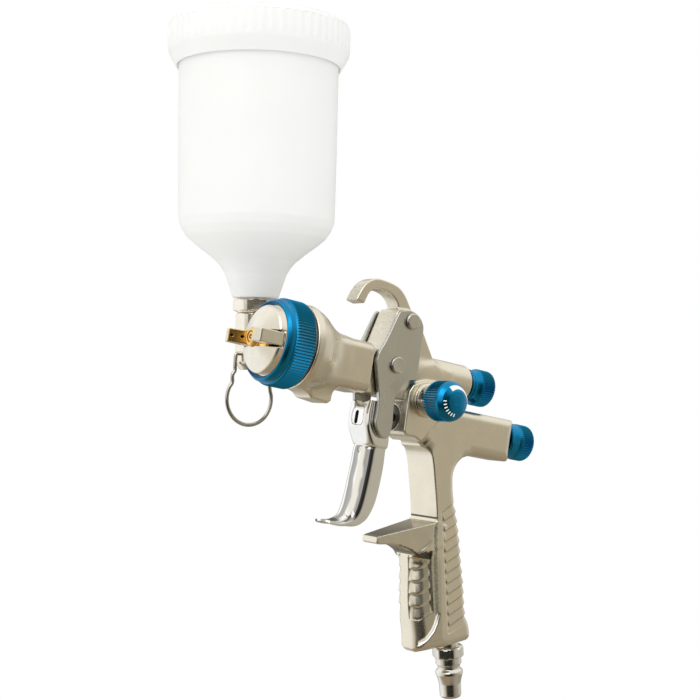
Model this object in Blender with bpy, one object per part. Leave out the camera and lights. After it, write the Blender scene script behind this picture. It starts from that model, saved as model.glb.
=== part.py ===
"""Gravity-feed HVLP spray gun with a side-mounted swivelling paint cup.

+X runs from the air cap back to the rear knobs (paint leaves along -X), +Z is up and +Y is the
cup side, called far; -Y is near. Lengths are millimetres from the point where the spray axis
meets the plane of the retaining ring's front rim. Meshes are made in metres, and the last section
moves the whole gun so that the middle of the hook's flat seat is at the world's origin.
"""
import math

import bmesh
import bpy
from mathutils import Matrix, Vector

MM = 0.001

# ---- driving dimensions (mm) ----
GAP = 0.3                     # running gap between separate pieces
RING_R = 17.8                 # air cap retaining ring, over the flutes
RING_FRONT, RING_REAR = 0.0, 12.9
CAP_R = 13.9                  # air cap disc
HORN_W = 5.4                  # width of an air horn along Z
HORN_TIP_X = -12.0
HEAD_R = 17.4                 # flange of the head behind the ring
THREAD_R = 15.6               # threaded spigot inside the ring
BARREL_Y = 10.0               # half widths of the casting's parts
WEB_Y = 6.75
HOOK_Y = 4.1
HANDLE_Y = 9.2
BARREL_BOTTOM, BARREL_TOP = -13.5, 7.6
PLATE_IN, PLATE_OUT = 7.5, 9.5    # faces of a trigger plate, from the gun's middle plane
PIN_R, PIN_HEAD_R = 2.3, 3.4
PIN_HEAD_Y, PIN_END_Y = 9.8, 11.2
TUBE_R = 8.2                  # upper rear tube
UPPER_TUBE_END, LOWER_TUBE_END = 102.7, 129.6
KNOB_R = 8.1
RING_FLUTES = (32, 0.75)      # number of flutes and their depth
KNOB_FLUTES = (16, 0.65)
SPRING_R = 3.7
SPRING_TURNS = 5
CUP_TILT = math.radians(9.53)
CUP_R = 34.2
CUP_WALL = 1.7
LID_R = 39.0

# ---- places and axes ----
ALONG_X, ALONG_Y = (1, 0, 0), (0, 1, 0)
HOOK_SEAT = (49.2, 0.0, 30.7)     # middle of the flat face under the hook's arm
PIVOT = (63.6, 0, 20.0)           # trigger pivot
CROSS = (59.0, 0, 0.6)            # needle cross pins
PATTERN = (76.8, 0, -11.3)        # pattern valve
AIR_Z = -20.3                     # axis of the air valve and its knob
CUP_BASE = Vector((18.46, 38.0, 0))
CUP_AXIS = Vector((-math.sin(CUP_TILT), 0, math.cos(CUP_TILT)))
CLIP_PIVOT = CUP_BASE + CUP_AXIS * -3.4
PLUG_TOP = Vector((115.6, 0, -113.0))
PLUG_END = Vector((121.9, 0, -136.4))

# lines that pieces are turned about; the default is the spray axis
ON_PIVOT = {"origin": PIVOT, "axis": ALONG_Y}
ON_PATTERN = {"origin": PATTERN, "axis": (0, -1, 0)}
ON_AIR = {"origin": (0, 0, AIR_Z)}
ON_INLET = {"origin": (19.3, 0, 0), "axis": ALONG_Y}
ON_CUP = {"origin": CUP_BASE, "axis": CUP_AXIS}
ON_PLUG = {"origin": PLUG_TOP, "axis": (PLUG_END - PLUG_TOP).normalized()}

# Names of passing pieces that are joined or cut away. Turned ones are rotated a little (radians)
# about their axes, so that no two facets coincide.
ADDED, CUTTER = "added", "cutter"
TURN = {ADDED: 0.0113, CUTTER: 0.0237}

for old in list(bpy.data.objects):
    bpy.data.objects.remove(old, do_unlink=True)


# ---- materials ----
def material(name, colour, roughness, metallic):
    made = bpy.data.materials.new(name)
    made.use_nodes = True
    shader = made.node_tree.nodes["Principled BSDF"]
    shader.inputs["Base Color"].default_value = (*colour, 1.0)
    shader.inputs["Roughness"].default_value = roughness
    shader.inputs["Metallic"].default_value = metallic
    return made


CAST = material("cast_nickel", colour=(0.62, 0.58, 0.48), roughness=0.35, metallic=1.0)
CHROME = material("polished_chrome", colour=(0.80, 0.80, 0.80), roughness=0.08, metallic=1.0)
STEEL = material("brushed_steel", colour=(0.55, 0.55, 0.53), roughness=0.35, metallic=1.0)
NICKEL = material("nickel", colour=(0.72, 0.70, 0.64), roughness=0.2, metallic=1.0)
BLUE = material("blue_anodised", colour=(0.01, 0.12, 0.38), roughness=0.35, metallic=0.9)
BRASS = material("brass", colour=(0.78, 0.50, 0.16), roughness=0.25, metallic=1.0)
NYLON = material("white_nylon", colour=(0.90, 0.90, 0.88), roughness=0.4, metallic=0.0)
PTFE = material("ptfe", colour=(0.86, 0.85, 0.82), roughness=0.5, metallic=0.0)
RUBBER = material("black_rubber", colour=(0.03, 0.03, 0.03), roughness=0.7, metallic=0.0)


def finish(obj, mat, smooth=35.0):
    """Gives the material, and smooth shading up to an edge angle in degrees."""
    obj.data.materials.clear()
    obj.data.materials.append(mat)
    obj.data.shade_smooth()
    obj.data.set_sharp_from_angle(angle=math.radians(smooth))


# ---- mesh helpers ----
def from_bmesh(name, shell):
    """Turns the faces outward and makes an object of the shell."""
    bmesh.ops.recalc_face_normals(shell, faces=shell.faces)
    if shell.calc_volume(signed=True) < 0:
        bmesh.ops.reverse_faces(shell, faces=shell.faces)
    mesh = bpy.data.meshes.new(name)
    shell.to_mesh(mesh)
    shell.free()
    obj = bpy.data.objects.new(name, mesh)
    bpy.context.scene.collection.objects.link(obj)
    return obj


def vertex_row(shell, points):
    return [shell.verts.new(Vector(point) * MM) for point in points]


def bridge(shell, first, second):
    """Faces between two closed rows of vertices; a row of one vertex is a tip."""
    count = max(len(first), len(second))
    for i in range(count):
        j = (i + 1) % count
        if len(first) == 1:
            shell.faces.new((first[0], second[i], second[j]))
        elif len(second) == 1:
            shell.faces.new((first[i], second[0], first[j]))
        else:
            shell.faces.new((first[i], second[i], second[j], first[j]))


def loft_shell(outlines):
    """A capped skin over closed outlines with equal numbers of points."""
    shell = bmesh.new()
    rows = [vertex_row(shell, outline) for outline in outlines]
    shell.faces.new(rows[0])
    shell.faces.new(rows[-1][::-1])
    for first, second in zip(rows, rows[1:]):
        bridge(shell, first, second)
    return shell


def frame_for(axis):
    """Two directions across the axis, then the axis."""
    along = Vector(axis).normalized()
    helper = Vector(ALONG_Y) if abs(along.y) < 0.9 else Vector(ALONG_X)
    across = helper.cross(along).normalized()
    return across, along.cross(across), along


def lathe(name, profile, origin=(0, 0, 0), axis=ALONG_X, segments=32, closed=False, flutes=None):
    """Revolves (station along the axis, radius) points about the axis.

    closed joins the last point to the first. flutes = (count, depth) flutes points 1 and 2.
    Thin pieces take fewer segments.
    """
    across, other, along = frame_for(axis)
    if flutes:
        segments = flutes[0] * 2
    else:
        widest = max(radius for _, radius in profile)
        segments = min(segments, 14 if widest < 6.0 else 18 if widest < 9.0 else segments)
    shell = bmesh.new()
    rows = []
    for k, (station, radius) in enumerate(profile):
        centre = Vector(origin) + along * station
        if radius == 0:
            rows.append(vertex_row(shell, [centre]))
            continue
        points = []
        for i in range(segments):
            angle = 2 * math.pi * i / segments + TURN.get(name, 0.0)
            sunk = flutes[1] if flutes and k in (1, 2) and i % 2 else 0.0
            direction = across * math.cos(angle) + other * math.sin(angle)
            points.append(centre + direction * (radius - sunk))
        rows.append(vertex_row(shell, points))
    if closed:
        rows.append(rows[0])
    for first, second in zip(rows, rows[1:]):
        bridge(shell, first, second)
    return from_bmesh(name, shell)


def drum(name, start, end, radius, **options):
    """A solid cylinder between two stations; options are those of lathe."""
    return lathe(name, [(start, 0), (start, radius), (end, radius), (end, 0)], **options)


def tube(name, start, end, inner, outer, **options):
    """A hollow cylinder between two stations; options are those of lathe."""
    profile = [(start, inner), (start, outer), (end, outer), (end, inner)]
    return lathe(name, profile, closed=True, **options)


def hexagon(name, start, end, flats, bore=0.0, turn=0.0, origin=(0, 0, 0), axis=ALONG_X):
    """A hexagonal column, flats wide across its flats, with an optional round bore."""
    across, other, along = frame_for(axis)
    angles = [turn + math.pi / 3 * i for i in range(6)]
    corners = [(across * math.cos(angle) + other * math.sin(angle)) * flats / math.sqrt(3)
               for angle in angles]
    outlines = [[Vector(origin) + along * station + corner for corner in corners]
                for station in (start, end)]
    obj = from_bmesh(name, loft_shell(outlines))
    if bore:
        cut(obj, drum(CUTTER, start - 2, end + 2, bore, origin=origin, axis=axis))
    return obj


def prism(name, outline, y_start, y_end, bevel=0.0):
    """Extrudes an (x, z) outline along Y, with its two long rims bevelled."""
    shell = loft_shell([[(x, y, z) for x, z in outline] for y in (y_start, y_end)])
    if bevel:
        rims = [edge for edge in shell.edges
                if abs(edge.verts[0].co.y - edge.verts[1].co.y) < 1e-7]
        bmesh.ops.bevel(shell, geom=rims, offset=bevel * MM, segments=1,
                        affect="EDGES", clamp_overlap=True)
    return from_bmesh(name, shell)


def block(name, xs, ys, zs):
    """A box between pairs of x, y and z."""
    outline = [(xs[0], zs[0]), (xs[1], zs[0]), (xs[1], zs[1]), (xs[0], zs[1])]
    return prism(name, outline, *ys)


def rounded_bar(name, xs, half_y, zs, corner, steps=3):
    """A bar along X with a rounded-rectangle section."""
    middle, half_z = (zs[0] + zs[1]) / 2, (zs[1] - zs[0]) / 2
    section = []
    for quarter, (sign_y, sign_z) in enumerate(((1, 1), (-1, 1), (-1, -1), (1, -1))):
        for i in range(steps + 1):
            angle = math.pi / 2 * (quarter + i / steps)
            section.append((sign_y * (half_y - corner) + corner * math.cos(angle),
                            middle + sign_z * (half_z - corner) + corner * math.sin(angle)))
    return from_bmesh(name, loft_shell([[(x, y, z) for y, z in section] for x in xs]))


def oblong(centre, radius, up, down, count):
    """Points round a circle whose upper half is moved up and lower half down."""
    angles = [2 * math.pi * (k + 0.5) / count for k in range(count)]
    return [(centre[0] + radius * math.cos(angle),
             centre[1] + (up if math.sin(angle) >= 0 else -down) + radius * math.sin(angle))
            for angle in angles]


def sweep(name, path, radius, sides):
    """A round wire along a polyline, closed at both ends."""
    points = [Vector(point) for point in path]
    across = frame_for(points[1] - points[0])[0]
    rings = []
    for i, point in enumerate(points):
        ahead = points[min(i + 1, len(points) - 1)]
        tangent = (ahead - points[max(i - 1, 0)]).normalized()
        across = (across - tangent * across.dot(tangent)).normalized()
        other = tangent.cross(across)
        angles = [2 * math.pi * k / sides for k in range(sides)]
        rings.append([point + (across * math.cos(angle) + other * math.sin(angle)) * radius
                      for angle in angles])
    return from_bmesh(name, loft_shell(rings))


def spring(name, start, end, wire, z):
    """A coil spring along X, with wire as the wire's radius."""
    count = SPRING_TURNS * 8
    angles = [2 * math.pi * SPRING_TURNS * i / count for i in range(count + 1)]
    path = [(start + (end - start) * i / count,
             SPRING_R * math.cos(angle), z + SPRING_R * math.sin(angle))
            for i, angle in enumerate(angles)]
    finish(sweep(name, path, wire, 4), STEEL)


def boolean(obj, tool, operation):
    """Applies the tool to the object and removes the tool."""
    modifier = obj.modifiers.new("boolean", "BOOLEAN")
    modifier.operation = operation
    modifier.solver = "EXACT"
    modifier.object = tool
    bpy.context.view_layer.update()
    graph = bpy.context.evaluated_depsgraph_get()
    mesh = bpy.data.meshes.new_from_object(obj.evaluated_get(graph))
    obj.modifiers.clear()
    obj.data = mesh
    bpy.data.objects.remove(tool, do_unlink=True)


def join(obj, tool):
    boolean(obj, tool, "UNION")


def cut(obj, tool):
    boolean(obj, tool, "DIFFERENCE")


# ---- gun body: one casting ----
# (station, radius) of the spigot, flange and taper of the head
HEAD = [
    (5.0, 0), (5.0, THREAD_R), (13.3, THREAD_R), (13.3, HEAD_R - 0.6), (14.0, HEAD_R),
    (17.6, HEAD_R), (20.4, 16.6), (22.8, 15.2), (25.0, 13.2), (27.0, 10.8), (29.0, 9.2), (30.0, 0)]
# (x, z) outlines
HEAD_FOOT = [(14.4, -10), (14.4, -18.6), (17.0, -19.4), (29.8, -20.4), (31.4, -19.0), (31.6, -8)]
WEB = [
    (44.0, -13.2), (76.0, -13.2), (87.0, -6.0), (85.5, -1.0), (72.7, 17.0), (66.8, 24.4),
    (64.7, 25.2), (58.6, 24.6), (57.4, 23.0), (52.4, 6.2), (44.0, 5.6)]
HOOK = [
    (37.6, 23.8), (41.8, 23.6), (43.0, 26.6), (44.6, 29.4), (46.6, 30.7), (51.8, 30.7),
    (55.6, 29.9), (58.2, 28.0), (59.6, 25.6), (59.8, 22.0), (67.0, 22.0), (66.9, 24.9),
    (64.9, 28.0), (61.9, 31.6), (58.1, 33.9), (53.0, 35.0), (46.6, 35.0), (42.8, 33.0),
    (40.3, 29.6)]
REAR_BLOCK = [
    (67.2, -11.9), (67.6, -8.6), (69.4, -5.8), (72.6, -4.3), (76.0, -3.0), (88.0, -3.0),
    (90.0, -18.0), (84.5, -26.0), (77.0, -28.9), (73.4, -27.6), (68.4, -27.4), (67.3, -24.5)]
HANDLE = [
    (72.0, -20.0), (73.4, -27.3), (79.6, -29.0), (84.1, -32.3), (85.8, -35.3), (88.2, -44.0),
    (90.7, -51.9), (92.3, -60.8), (95.0, -68.0), (88.0, -80.0), (86.2, -90.0), (87.6, -99.0),
    (91.6, -110.0), (92.6, -116.6), (99.5, -115.5), (111.2, -112.1), (120.2, -109.3),
    (120.6, -106.9), (119.6, -103.6), (117.0, -98.2), (115.3, -92.0), (113.2, -84.0),
    (110.5, -75.6), (107.4, -65.1), (103.9, -55.5), (101.0, -49.7), (99.5, -42.2),
    (99.3, -38.8), (100.0, -36.2), (102.2, -33.4), (104.9, -31.6), (108.0, -29.0), (104.0, -20.0)]
SPUR = [
    (66.8, -70.3), (92.6, -60.9), (96.0, -62.0), (96.0, -84.0), (87.6, -80.0), (83.1, -76.1),
    (79.4, -73.7), (74.3, -72.9), (66.6, -73.9), (65.2, -73.2), (65.2, -71.2)]
# (station, radius) of the stepped bore: nozzle thread, paint passage, packing, nut recess, spring
SPRAY_BORE = [
    (4.0, 0), (4.0, 5.6), (15.5, 5.6), (15.5, 3.0), (36.2, 3.0), (36.2, 4.2), (46.4, 4.2),
    (46.4, 6.4), (54.0, 6.4), (54.0, 4.0), (65.0, 4.0), (65.0, 5.4), (104.0, 5.4), (104.0, 0)]
HANDLE_PASSAGE = [(92.5, 0.02, -19.0), (94.2, 0.0, -45.0), (98.7, 0.0, -61.0), (114.0, 0.0, -107.7)]
# count, first x and step, first z and step, (x, z) outline of one groove
GRIP_GROOVES = (
    (4, 88.0, 1.1, -73.5, -6.2, ((0.2, -4.0), (6.6, -0.6), (6.6, 0.2), (0.2, -3.2))),
    (5, 96.2, 2.6, -54.0, -9.4, ((0, -4.2), (6.2, 0), (6.2, 0.8), (0, -3.4))),
)


def make_spur():
    """The handle's front spur, narrower towards its tip."""
    spur = prism(ADDED, SPUR, -8.2, 8.2, 0.7)
    for vertex in spur.data.vertices:
        vertex.co.y *= 0.62 + 0.38 * min(1.0, max(0.0, (vertex.co.x / MM - 65.0) / 24.0))
    return spur


def cut_holes(body):
    cut(body, lathe(CUTTER, SPRAY_BORE))
    cut(body, tube(CUTTER, 4.0, 10.5, 7.6, 12.6, segments=24))   # annular groove in the spigot
    # side inlet and its thread
    cut(body, lathe(CUTTER, [(-0.4, 0), (-0.4, 2.4), (12.0, 2.4), (12.0, 4.2), (22.0, 4.2),
                             (22.0, 0)], **ON_INLET))
    # needle yoke window
    cut(body, block(CUTTER, (53.2, 66.2), (-12, 12), (-5.6, 5.6)))
    cut(body, drum(CUTTER, 66.0, 131.0, 5.4, **ON_AIR))          # air valve bore
    cut(body, drum(CUTTER, -12, 3.0, 5.0, origin=PATTERN, axis=ALONG_Y))
    # air passage to the head
    cut(body, drum(CUTTER, 7.5, 80.0, 1.9, origin=(0, 0, -9.8), segments=12))
    cut(body, drum(CUTTER, -12, 12, PIN_R + GAP, **ON_PIVOT))
    cut(body, sweep(CUTTER, HANDLE_PASSAGE, 3.0, 11))
    cut(body, drum(CUTTER, -11.0, 8.0, 5.0, **ON_PLUG))


def cut_grip_grooves(body):
    """Shallow slanting grooves on both sides of the grip."""
    for side in (-1, 1):
        for count, first_x, step_x, first_z, step_z, groove in GRIP_GROOVES:
            for k in range(count):
                outline = [(first_x + step_x * k + x, first_z + step_z * k + z)
                           for x, z in groove]
                cut(body, prism(CUTTER, outline, side * (HANDLE_Y - 0.4), side * 12.0))


def make_body():
    body = lathe("gun_body", HEAD)
    join(body, rounded_bar(ADDED, (18.0, 46.5), BARREL_Y, (BARREL_BOTTOM, BARREL_TOP), 4.0))
    join(body, prism(ADDED, HEAD_FOOT, -6.2, 6.2, 0.8))
    join(body, drum(ADDED, 6, 18.9, 6.0, **ON_INLET))            # side inlet boss
    join(body, prism(ADDED, WEB, -WEB_Y, WEB_Y, 0.6))            # between the trigger plates
    join(body, prism(ADDED, HOOK, -HOOK_Y, HOOK_Y, 0.5))
    join(body, prism(ADDED, REAR_BLOCK, -10.0, 10.0, 0.8))
    join(body, lathe(ADDED, [(74.2, 0), (74.2, TUBE_R - 0.8), (75.2, TUBE_R),
                             (UPPER_TUBE_END - 0.5, TUBE_R), (UPPER_TUBE_END, TUBE_R - 0.5),
                             (UPPER_TUBE_END, 0)]))
    join(body, rounded_bar(ADDED, (78.0, LOWER_TUBE_END), 9.0, (-30.0, -11.7), 5.5))
    join(body, prism(ADDED, HANDLE, -HANDLE_Y, HANDLE_Y, 1.7))
    join(body, make_spur())
    cut_holes(body)
    cut_grip_grooves(body)
    finish(body, CAST, 30)


# ---- head: nozzle, baffle, air cap, clip and retaining ring ----
# (station, radius) profiles
NOZZLE = [
    (-7.2, 0.9), (-7.2, 1.8), (-4.0, 2.1), (1.6, 4.4), (1.6, 6.2), (3.4, 6.2), (3.4, 7.0),
    (4.7, 7.0), (4.7, 5.3), (14.5, 5.3), (14.5, 3.1), (1.0, 2.3), (-3.5, 1.5), (-5.6, 0.9)]
AIR_CAP = [
    (-5.0, 4.2), (-0.8, CAP_R - 0.3), (-0.3, CAP_R), (2.3, CAP_R), (2.3, 13.2), (3.3, 13.2),
    (3.3, 15.2), (4.7, 15.2), (4.7, 12.4), (1.6, 12.4), (-0.8, 10.0), (-2.6, 4.2)]
CAP_CORE = [(-7.4, 2.6), (-7.4, 3.2), (-6.6, 3.8), (-1.6, 3.8), (-1.6, 3.3), (-3.6, 2.7)]
RING = [
    (RING_FRONT, 14.9), (RING_FRONT, 15.4), (0.6, 16.4), (2.4, 16.9), (4.6, 17.2), (12.5, 17.2),
    (RING_REAR, 16.9), (RING_REAR, 15.95), (2.4, 15.95), (2.0, 14.25), (1.2, 14.25)]
HORN_HOLES = ((-9.6, 8.5), (-5.4, 6.6))      # x, distance from the spray axis
BAFFLE_HOLE_CIRCLE_R = 9.6
CLIP_RING_R = 14.2


def make_baffle():
    baffle = tube("air_baffle", 2.9, 4.6, 7.4, 11.8, segments=24)
    for k in range(6):
        angle = math.pi / 3 * k + 0.13
        centre = (0, BAFFLE_HOLE_CIRCLE_R * math.cos(angle), BAFFLE_HOLE_CIRCLE_R * math.sin(angle))
        cut(baffle, drum(CUTTER, 1, 7, 1.1, origin=centre, segments=6))
    finish(baffle, NICKEL)


def make_horn(side):
    """An air horn whose inner face slopes away from the spray axis towards its tip."""
    horn = block(ADDED, (HORN_TIP_X, 1.0), (4.6, 13.3), (-HORN_W / 2, HORN_W / 2))
    for vertex in horn.data.vertices:
        if vertex.co.y < 8 * MM:
            vertex.co.y = (9.6 if vertex.co.x < -2 * MM else 5.0) * MM
        vertex.co.y *= side
    if side < 0:
        horn.data.flip_normals()
    return horn


def make_air_cap():
    cap = lathe("air_cap", AIR_CAP, segments=24, closed=True)
    for side in (-1, 1):
        join(cap, make_horn(side))
        for x, y in HORN_HOLES:
            start = Vector((x - 1.4, side * (y - 2.0), 0))
            span = Vector((x + 1.3, side * (y + 2.2), 0)) - start
            cut(cap, drum(CUTTER, 0, span.length, 0.55, origin=start, axis=span, segments=6))
    finish(cap, NICKEL, 30)
    finish(lathe("air_cap_core", CAP_CORE, closed=True), BRASS)


def make_retaining_ring():
    # open wire ring
    angles = [math.radians(20 + 320 * i / 36) for i in range(0, 37, 2)]
    path = [(2.8, CLIP_RING_R * math.cos(angle), CLIP_RING_R * math.sin(angle))
            for angle in angles]
    finish(sweep("cap_retaining_clip", path, 0.42, 5), STEEL)

    ring = lathe("retaining_ring", RING, segments=26, closed=True)
    join(ring, tube(ADDED, 4.3, 12.3, 16.6, RING_R, flutes=RING_FLUTES))
    finish(ring, BLUE, 25)


# ---- needle, its packing and its spring ----
def make_yoke():
    yoke = block("needle_yoke", (55.4, 62.8), (-5.6, 5.6), (-4.6, 4.6))
    cut(yoke, drum(CUTTER, 50, 70, 1.7))
    for side in (-1, 1):
        cut(yoke, drum(CUTTER, 2.6, 8.0, PIN_R + 0.1, origin=CROSS, axis=(0, side, 0)))
    finish(yoke, STEEL)


def make_packing_nut():
    nut = hexagon("packing_nut", 47.0, 50.6, 10.4)
    join(nut, drum(ADDED, 40.5, 48.0, 3.9))
    cut(nut, drum(CUTTER, 38, 53, 1.9))
    finish(nut, BRASS)


def make_needle():
    needle = [(-7.0, 0), (-7.0, 0.4), (-4.8, 0.6), (-0.5, 1.5), (89.4, 1.5), (90.0, 0.9), (90.0, 0)]
    finish(lathe("fluid_needle", needle), STEEL)
    finish(tube("needle_packing", 36.6, 40.2, 1.8, 3.9), PTFE)
    make_packing_nut()
    make_yoke()
    collar = [(70.4, 1.7), (70.4, 4.9), (72.6, 4.9), (72.6, 3.0), (74.0, 3.0), (74.0, 1.7)]
    finish(lathe("needle_collar", collar, closed=True), BRASS)
    pin = [(3.0, 0), (3.0, PIN_R), (PIN_HEAD_Y, PIN_R), (PIN_HEAD_Y, PIN_HEAD_R),
           (10.8, PIN_HEAD_R), (PIN_END_Y, PIN_HEAD_R - 0.4), (PIN_END_Y, 2.2), (10.9, 0)]
    for side, place in ((-1, "near"), (1, "far")):
        finish(lathe("needle_cross_pin_" + place, pin, CROSS, (0, side, 0)), STEEL)
    spring("needle_spring", 74.0, 93.0, 0.45, 0.0)


# ---- trigger: lever, two side plates, push bar, pivot pin ----
# stations down the lever: front apex x, rear edge x, z, half width, roundness of the front
LEVER = [
    (50.1, 60.6, -15.2, 7.1, 0.0), (49.8, 60.8, -20.5, 7.1, 0.0), (50.0, 61.4, -26.0, 7.1, 0.1),
    (51.2, 62.2, -30.6, 7.1, 0.5), (52.2, 62.2, -34.0, 6.9, 1.0), (52.6, 62.4, -41.5, 6.9, 1.0),
    (52.2, 61.9, -48.0, 6.9, 1.0), (51.6, 61.4, -53.5, 6.9, 1.0), (50.4, 60.4, -58.5, 6.8, 1.0),
    (48.8, 58.6, -62.2, 6.6, 1.0), (46.4, 55.8, -65.2, 6.4, 0.9), (43.6, 52.6, -67.0, 6.2, 0.6)]
LEVER_WALL = 1.5
# (x, z) outlines of the lip at the lever's lower end and of a side plate
LIP = [
    (40.2, -66.6), (43.2, -66.3), (46.0, -65.2), (48.6, -63.0), (51.0, -60.6), (52.6, -61.6),
    (54.8, -65.4), (53.6, -67.2), (50.0, -68.0), (43.0, -67.7), (40.2, -67.4)]
PLATE = [
    (56.8, 22.7), (58.5, 23.3), (61.6, 24.2), (65.0, 23.8), (67.6, 22.4), (69.4, 20.4),
    (70.3, 18.1), (70.4, 9.1), (70.5, -3.6), (68.4, -4.0), (66.4, -4.7), (64.0, -6.5),
    (62.2, -9.0), (61.1, -12.0), (60.7, -15.4), (60.9, -20.0), (61.2, -23.4), (60.9, -27.2),
    (59.8, -29.6), (58.3, -30.3), (56.1, -29.6), (53.6, -27.2), (52.2, -24.4), (52.6, -19.0),
    (52.4, -13.9), (48.8, -1.2), (49.0, 2.4), (49.8, 5.4), (52.0, 9.9)]


def lever_section(front, rear, half_width, roundness, inset):
    """(x, y) points from the far rear edge round the front to the near rear edge."""
    width = half_width - inset
    apex = front + inset
    depth = 1.2 + 3.6 * roundness - (0.4 if inset else 0.0)
    squareness = 0.65 * (1 - roundness)
    points = [(rear, width), (apex + depth + 1.6, width), (apex + depth, width - 0.1)]
    for k in (1, 2, 3):
        angle = math.pi / 2 * k / 4
        spread = math.cos(angle) * (1 - squareness) + squareness * (1 - k / 4) ** 0.35
        points.append((apex + depth * (1 - math.sin(angle)), width * spread))
    mirrored = [(x, -y) for x, y in reversed(points)]
    return points + [(apex, 0.0)] + mirrored


def make_lever():
    """A channel open to the rear, with a lip at its foot and a slot through its front."""
    shell = bmesh.new()
    rows = []
    for front, rear, z, half_width, roundness in LEVER:
        outer = lever_section(front, rear, half_width, roundness, 0.0)
        inner = lever_section(front, rear, half_width, roundness, LEVER_WALL)[::-1]
        rows.append(vertex_row(shell, [(x, y, z) for x, y in outer + inner]))
    for first, second in zip(rows, rows[1:]):
        bridge(shell, first, second)
    for row in (rows[0], rows[-1]):              # close the wall at both ends
        for i in range(len(row) // 2 - 1):
            shell.faces.new((row[i], row[i + 1], row[-2 - i], row[-1 - i]))
    lever = from_bmesh("trigger_lever", shell)
    join(lever, prism(ADDED, LIP, -6.1, 6.1, 0.35))
    slot = oblong((0, -22.5), 1.15, 2.0, 2.0, 16)
    cut(lever, from_bmesh(CUTTER, loft_shell([[(x, y, z) for y, z in slot] for x in (46.0, 54.0)])))
    finish(lever, CHROME, 30)


def make_plates():
    hole_r = PIN_R + GAP
    cross_hole = oblong((CROSS[0], CROSS[2]), hole_r, 0.6, 0.0, 24)
    for side, place in ((-1, "near"), (1, "far")):
        low, high = sorted((side * PLATE_IN, side * PLATE_OUT))
        plate = prism("trigger_plate_" + place, PLATE, low, high, 0.25)
        cut(plate, drum(CUTTER, low - 2, high + 2, hole_r, **ON_PIVOT))
        cut(plate, prism(CUTTER, cross_hole, low - 2, high + 2))
        finish(plate, STEEL)


def make_trigger_pins():
    bar = drum("valve_push_bar", -5.2, 5.2, 1.7, origin=(57.6, 0, AIR_Z), axis=ALONG_Y)
    finish(bar, STEEL)
    half = [(PIN_END_Y, 0), (PIN_END_Y, PIN_HEAD_R - 0.4), (10.8, PIN_HEAD_R),
            (PIN_HEAD_Y, PIN_HEAD_R), (PIN_HEAD_Y, PIN_R)]
    profile = [(-station, radius) for station, radius in half] + half[::-1]
    finish(lathe("trigger_pivot_pin", profile, **ON_PIVOT), STEEL)


# ---- air valve ----
def make_air_valve():
    finish(tube("air_valve_cage", 67.6, 76.0, 2.0, 5.1, **ON_AIR), BRASS)
    stem = [(59.6, 0), (59.6, 1.0), (60.3, 1.6), (80.0, 1.6), (80.0, 3.8), (83.0, 3.8),
            (83.0, 1.6), (87.2, 1.6), (87.2, 0)]
    finish(lathe("air_valve_stem", stem, **ON_AIR), STEEL)
    finish(tube("air_valve_seal", 76.6, 79.7, 1.9, 4.6, **ON_AIR), RUBBER)
    spring_cup = [(83.3, 1.9), (83.3, 4.8), (87.3, 4.8), (87.3, 4.4), (84.2, 4.4), (84.2, 1.9)]
    finish(lathe("air_valve_spring_cup", spring_cup, closed=True, **ON_AIR), STEEL)
    spring("air_valve_spring", 87.6, 112.6, 0.5, AIR_Z)


# ---- knobs ----
def make_rear_knob(prefix, z, tube_end, grip_start, grip_end, spring_end):
    """A threaded bush, a spring seat and a fluted knob on a rear tube."""
    line = {"origin": (0, 0, z)}
    finish(tube(prefix + "_bush", tube_end - 3.0, tube_end - 0.4, 3.4, 5.1, **line), NICKEL)
    seat = drum(prefix + "_spring_seat", spring_end + 0.6, spring_end + 1.6, 4.7, **line)
    finish(seat, NICKEL)
    shank_start = spring_end + 1.9
    skirt_start = tube_end + 0.9
    skirt_r = KNOB_R - 0.1
    core_r = KNOB_R - 0.9
    knob = lathe(prefix + "_knob", [
        (shank_start, 0), (shank_start, 3.0), (skirt_start, 3.0), (skirt_start, 7.4),
        (skirt_start + 0.5, skirt_r), (grip_start - 2.4, skirt_r), (grip_start - 2.2, core_r),
        (grip_start - 1.0, core_r), (grip_end - 0.3, core_r), (grip_end, KNOB_R - 1.8),
        (grip_end + 0.1, 0)], **line)
    join(knob, drum(ADDED, grip_start - 0.6, grip_end - 0.7, KNOB_R, flutes=KNOB_FLUTES, **line))
    finish(knob, BLUE, 25)


def make_pattern_valve():
    """Collar, seal and knob on the near side."""
    collar = [(4.6, 2.6), (4.6, 4.7), (10.3, 4.7), (10.3, 7.2), (16.0, 7.2), (17.6, 6.4),
              (17.6, 2.6)]
    finish(lathe("pattern_collar", collar, closed=True, **ON_PATTERN), NICKEL)
    finish(drum("pattern_seal", -0.4, 1.0, 3.8, **ON_PATTERN), RUBBER)
    knob = lathe("pattern_knob", [
        (1.4, 0), (1.4, 1.4), (3.2, 2.3), (17.9, 2.3), (17.9, 7.3), (27.6, 7.3), (29.6, 7.0),
        (31.4, 5.8), (32.6, 4.0), (33.2, 0)], **ON_PATTERN)
    band = [(18.4, 0), (18.4, KNOB_R), (27.0, KNOB_R), (28.4, 7.0), (28.4, 0)]
    join(knob, lathe(ADDED, band, flutes=KNOB_FLUTES, **ON_PATTERN))
    finish(knob, BLUE, 25)


# ---- air inlet plug under the handle ----
def make_plug():
    plug = lathe("air_inlet_plug", [
        (-9.5, 2.6), (-9.5, 4.7), (3.6, 4.7), (3.6, 5.6), (7.8, 5.6), (8.8, 4.8), (9.9, 4.8),
        (10.8, 6.0), (12.4, 6.0), (16.6, 4.7), (22.6, 4.7), (22.6, 2.6)], closed=True, **ON_PLUG)
    join(plug, hexagon(ADDED, 1.4, 4.9, 12.5, 3.0, **ON_PLUG))
    finish(plug, STEEL, 30)
    finish(tube("plug_thread_seal", 0.35, 1.1, 5.0, 6.4, **ON_PLUG), PTFE)


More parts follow.
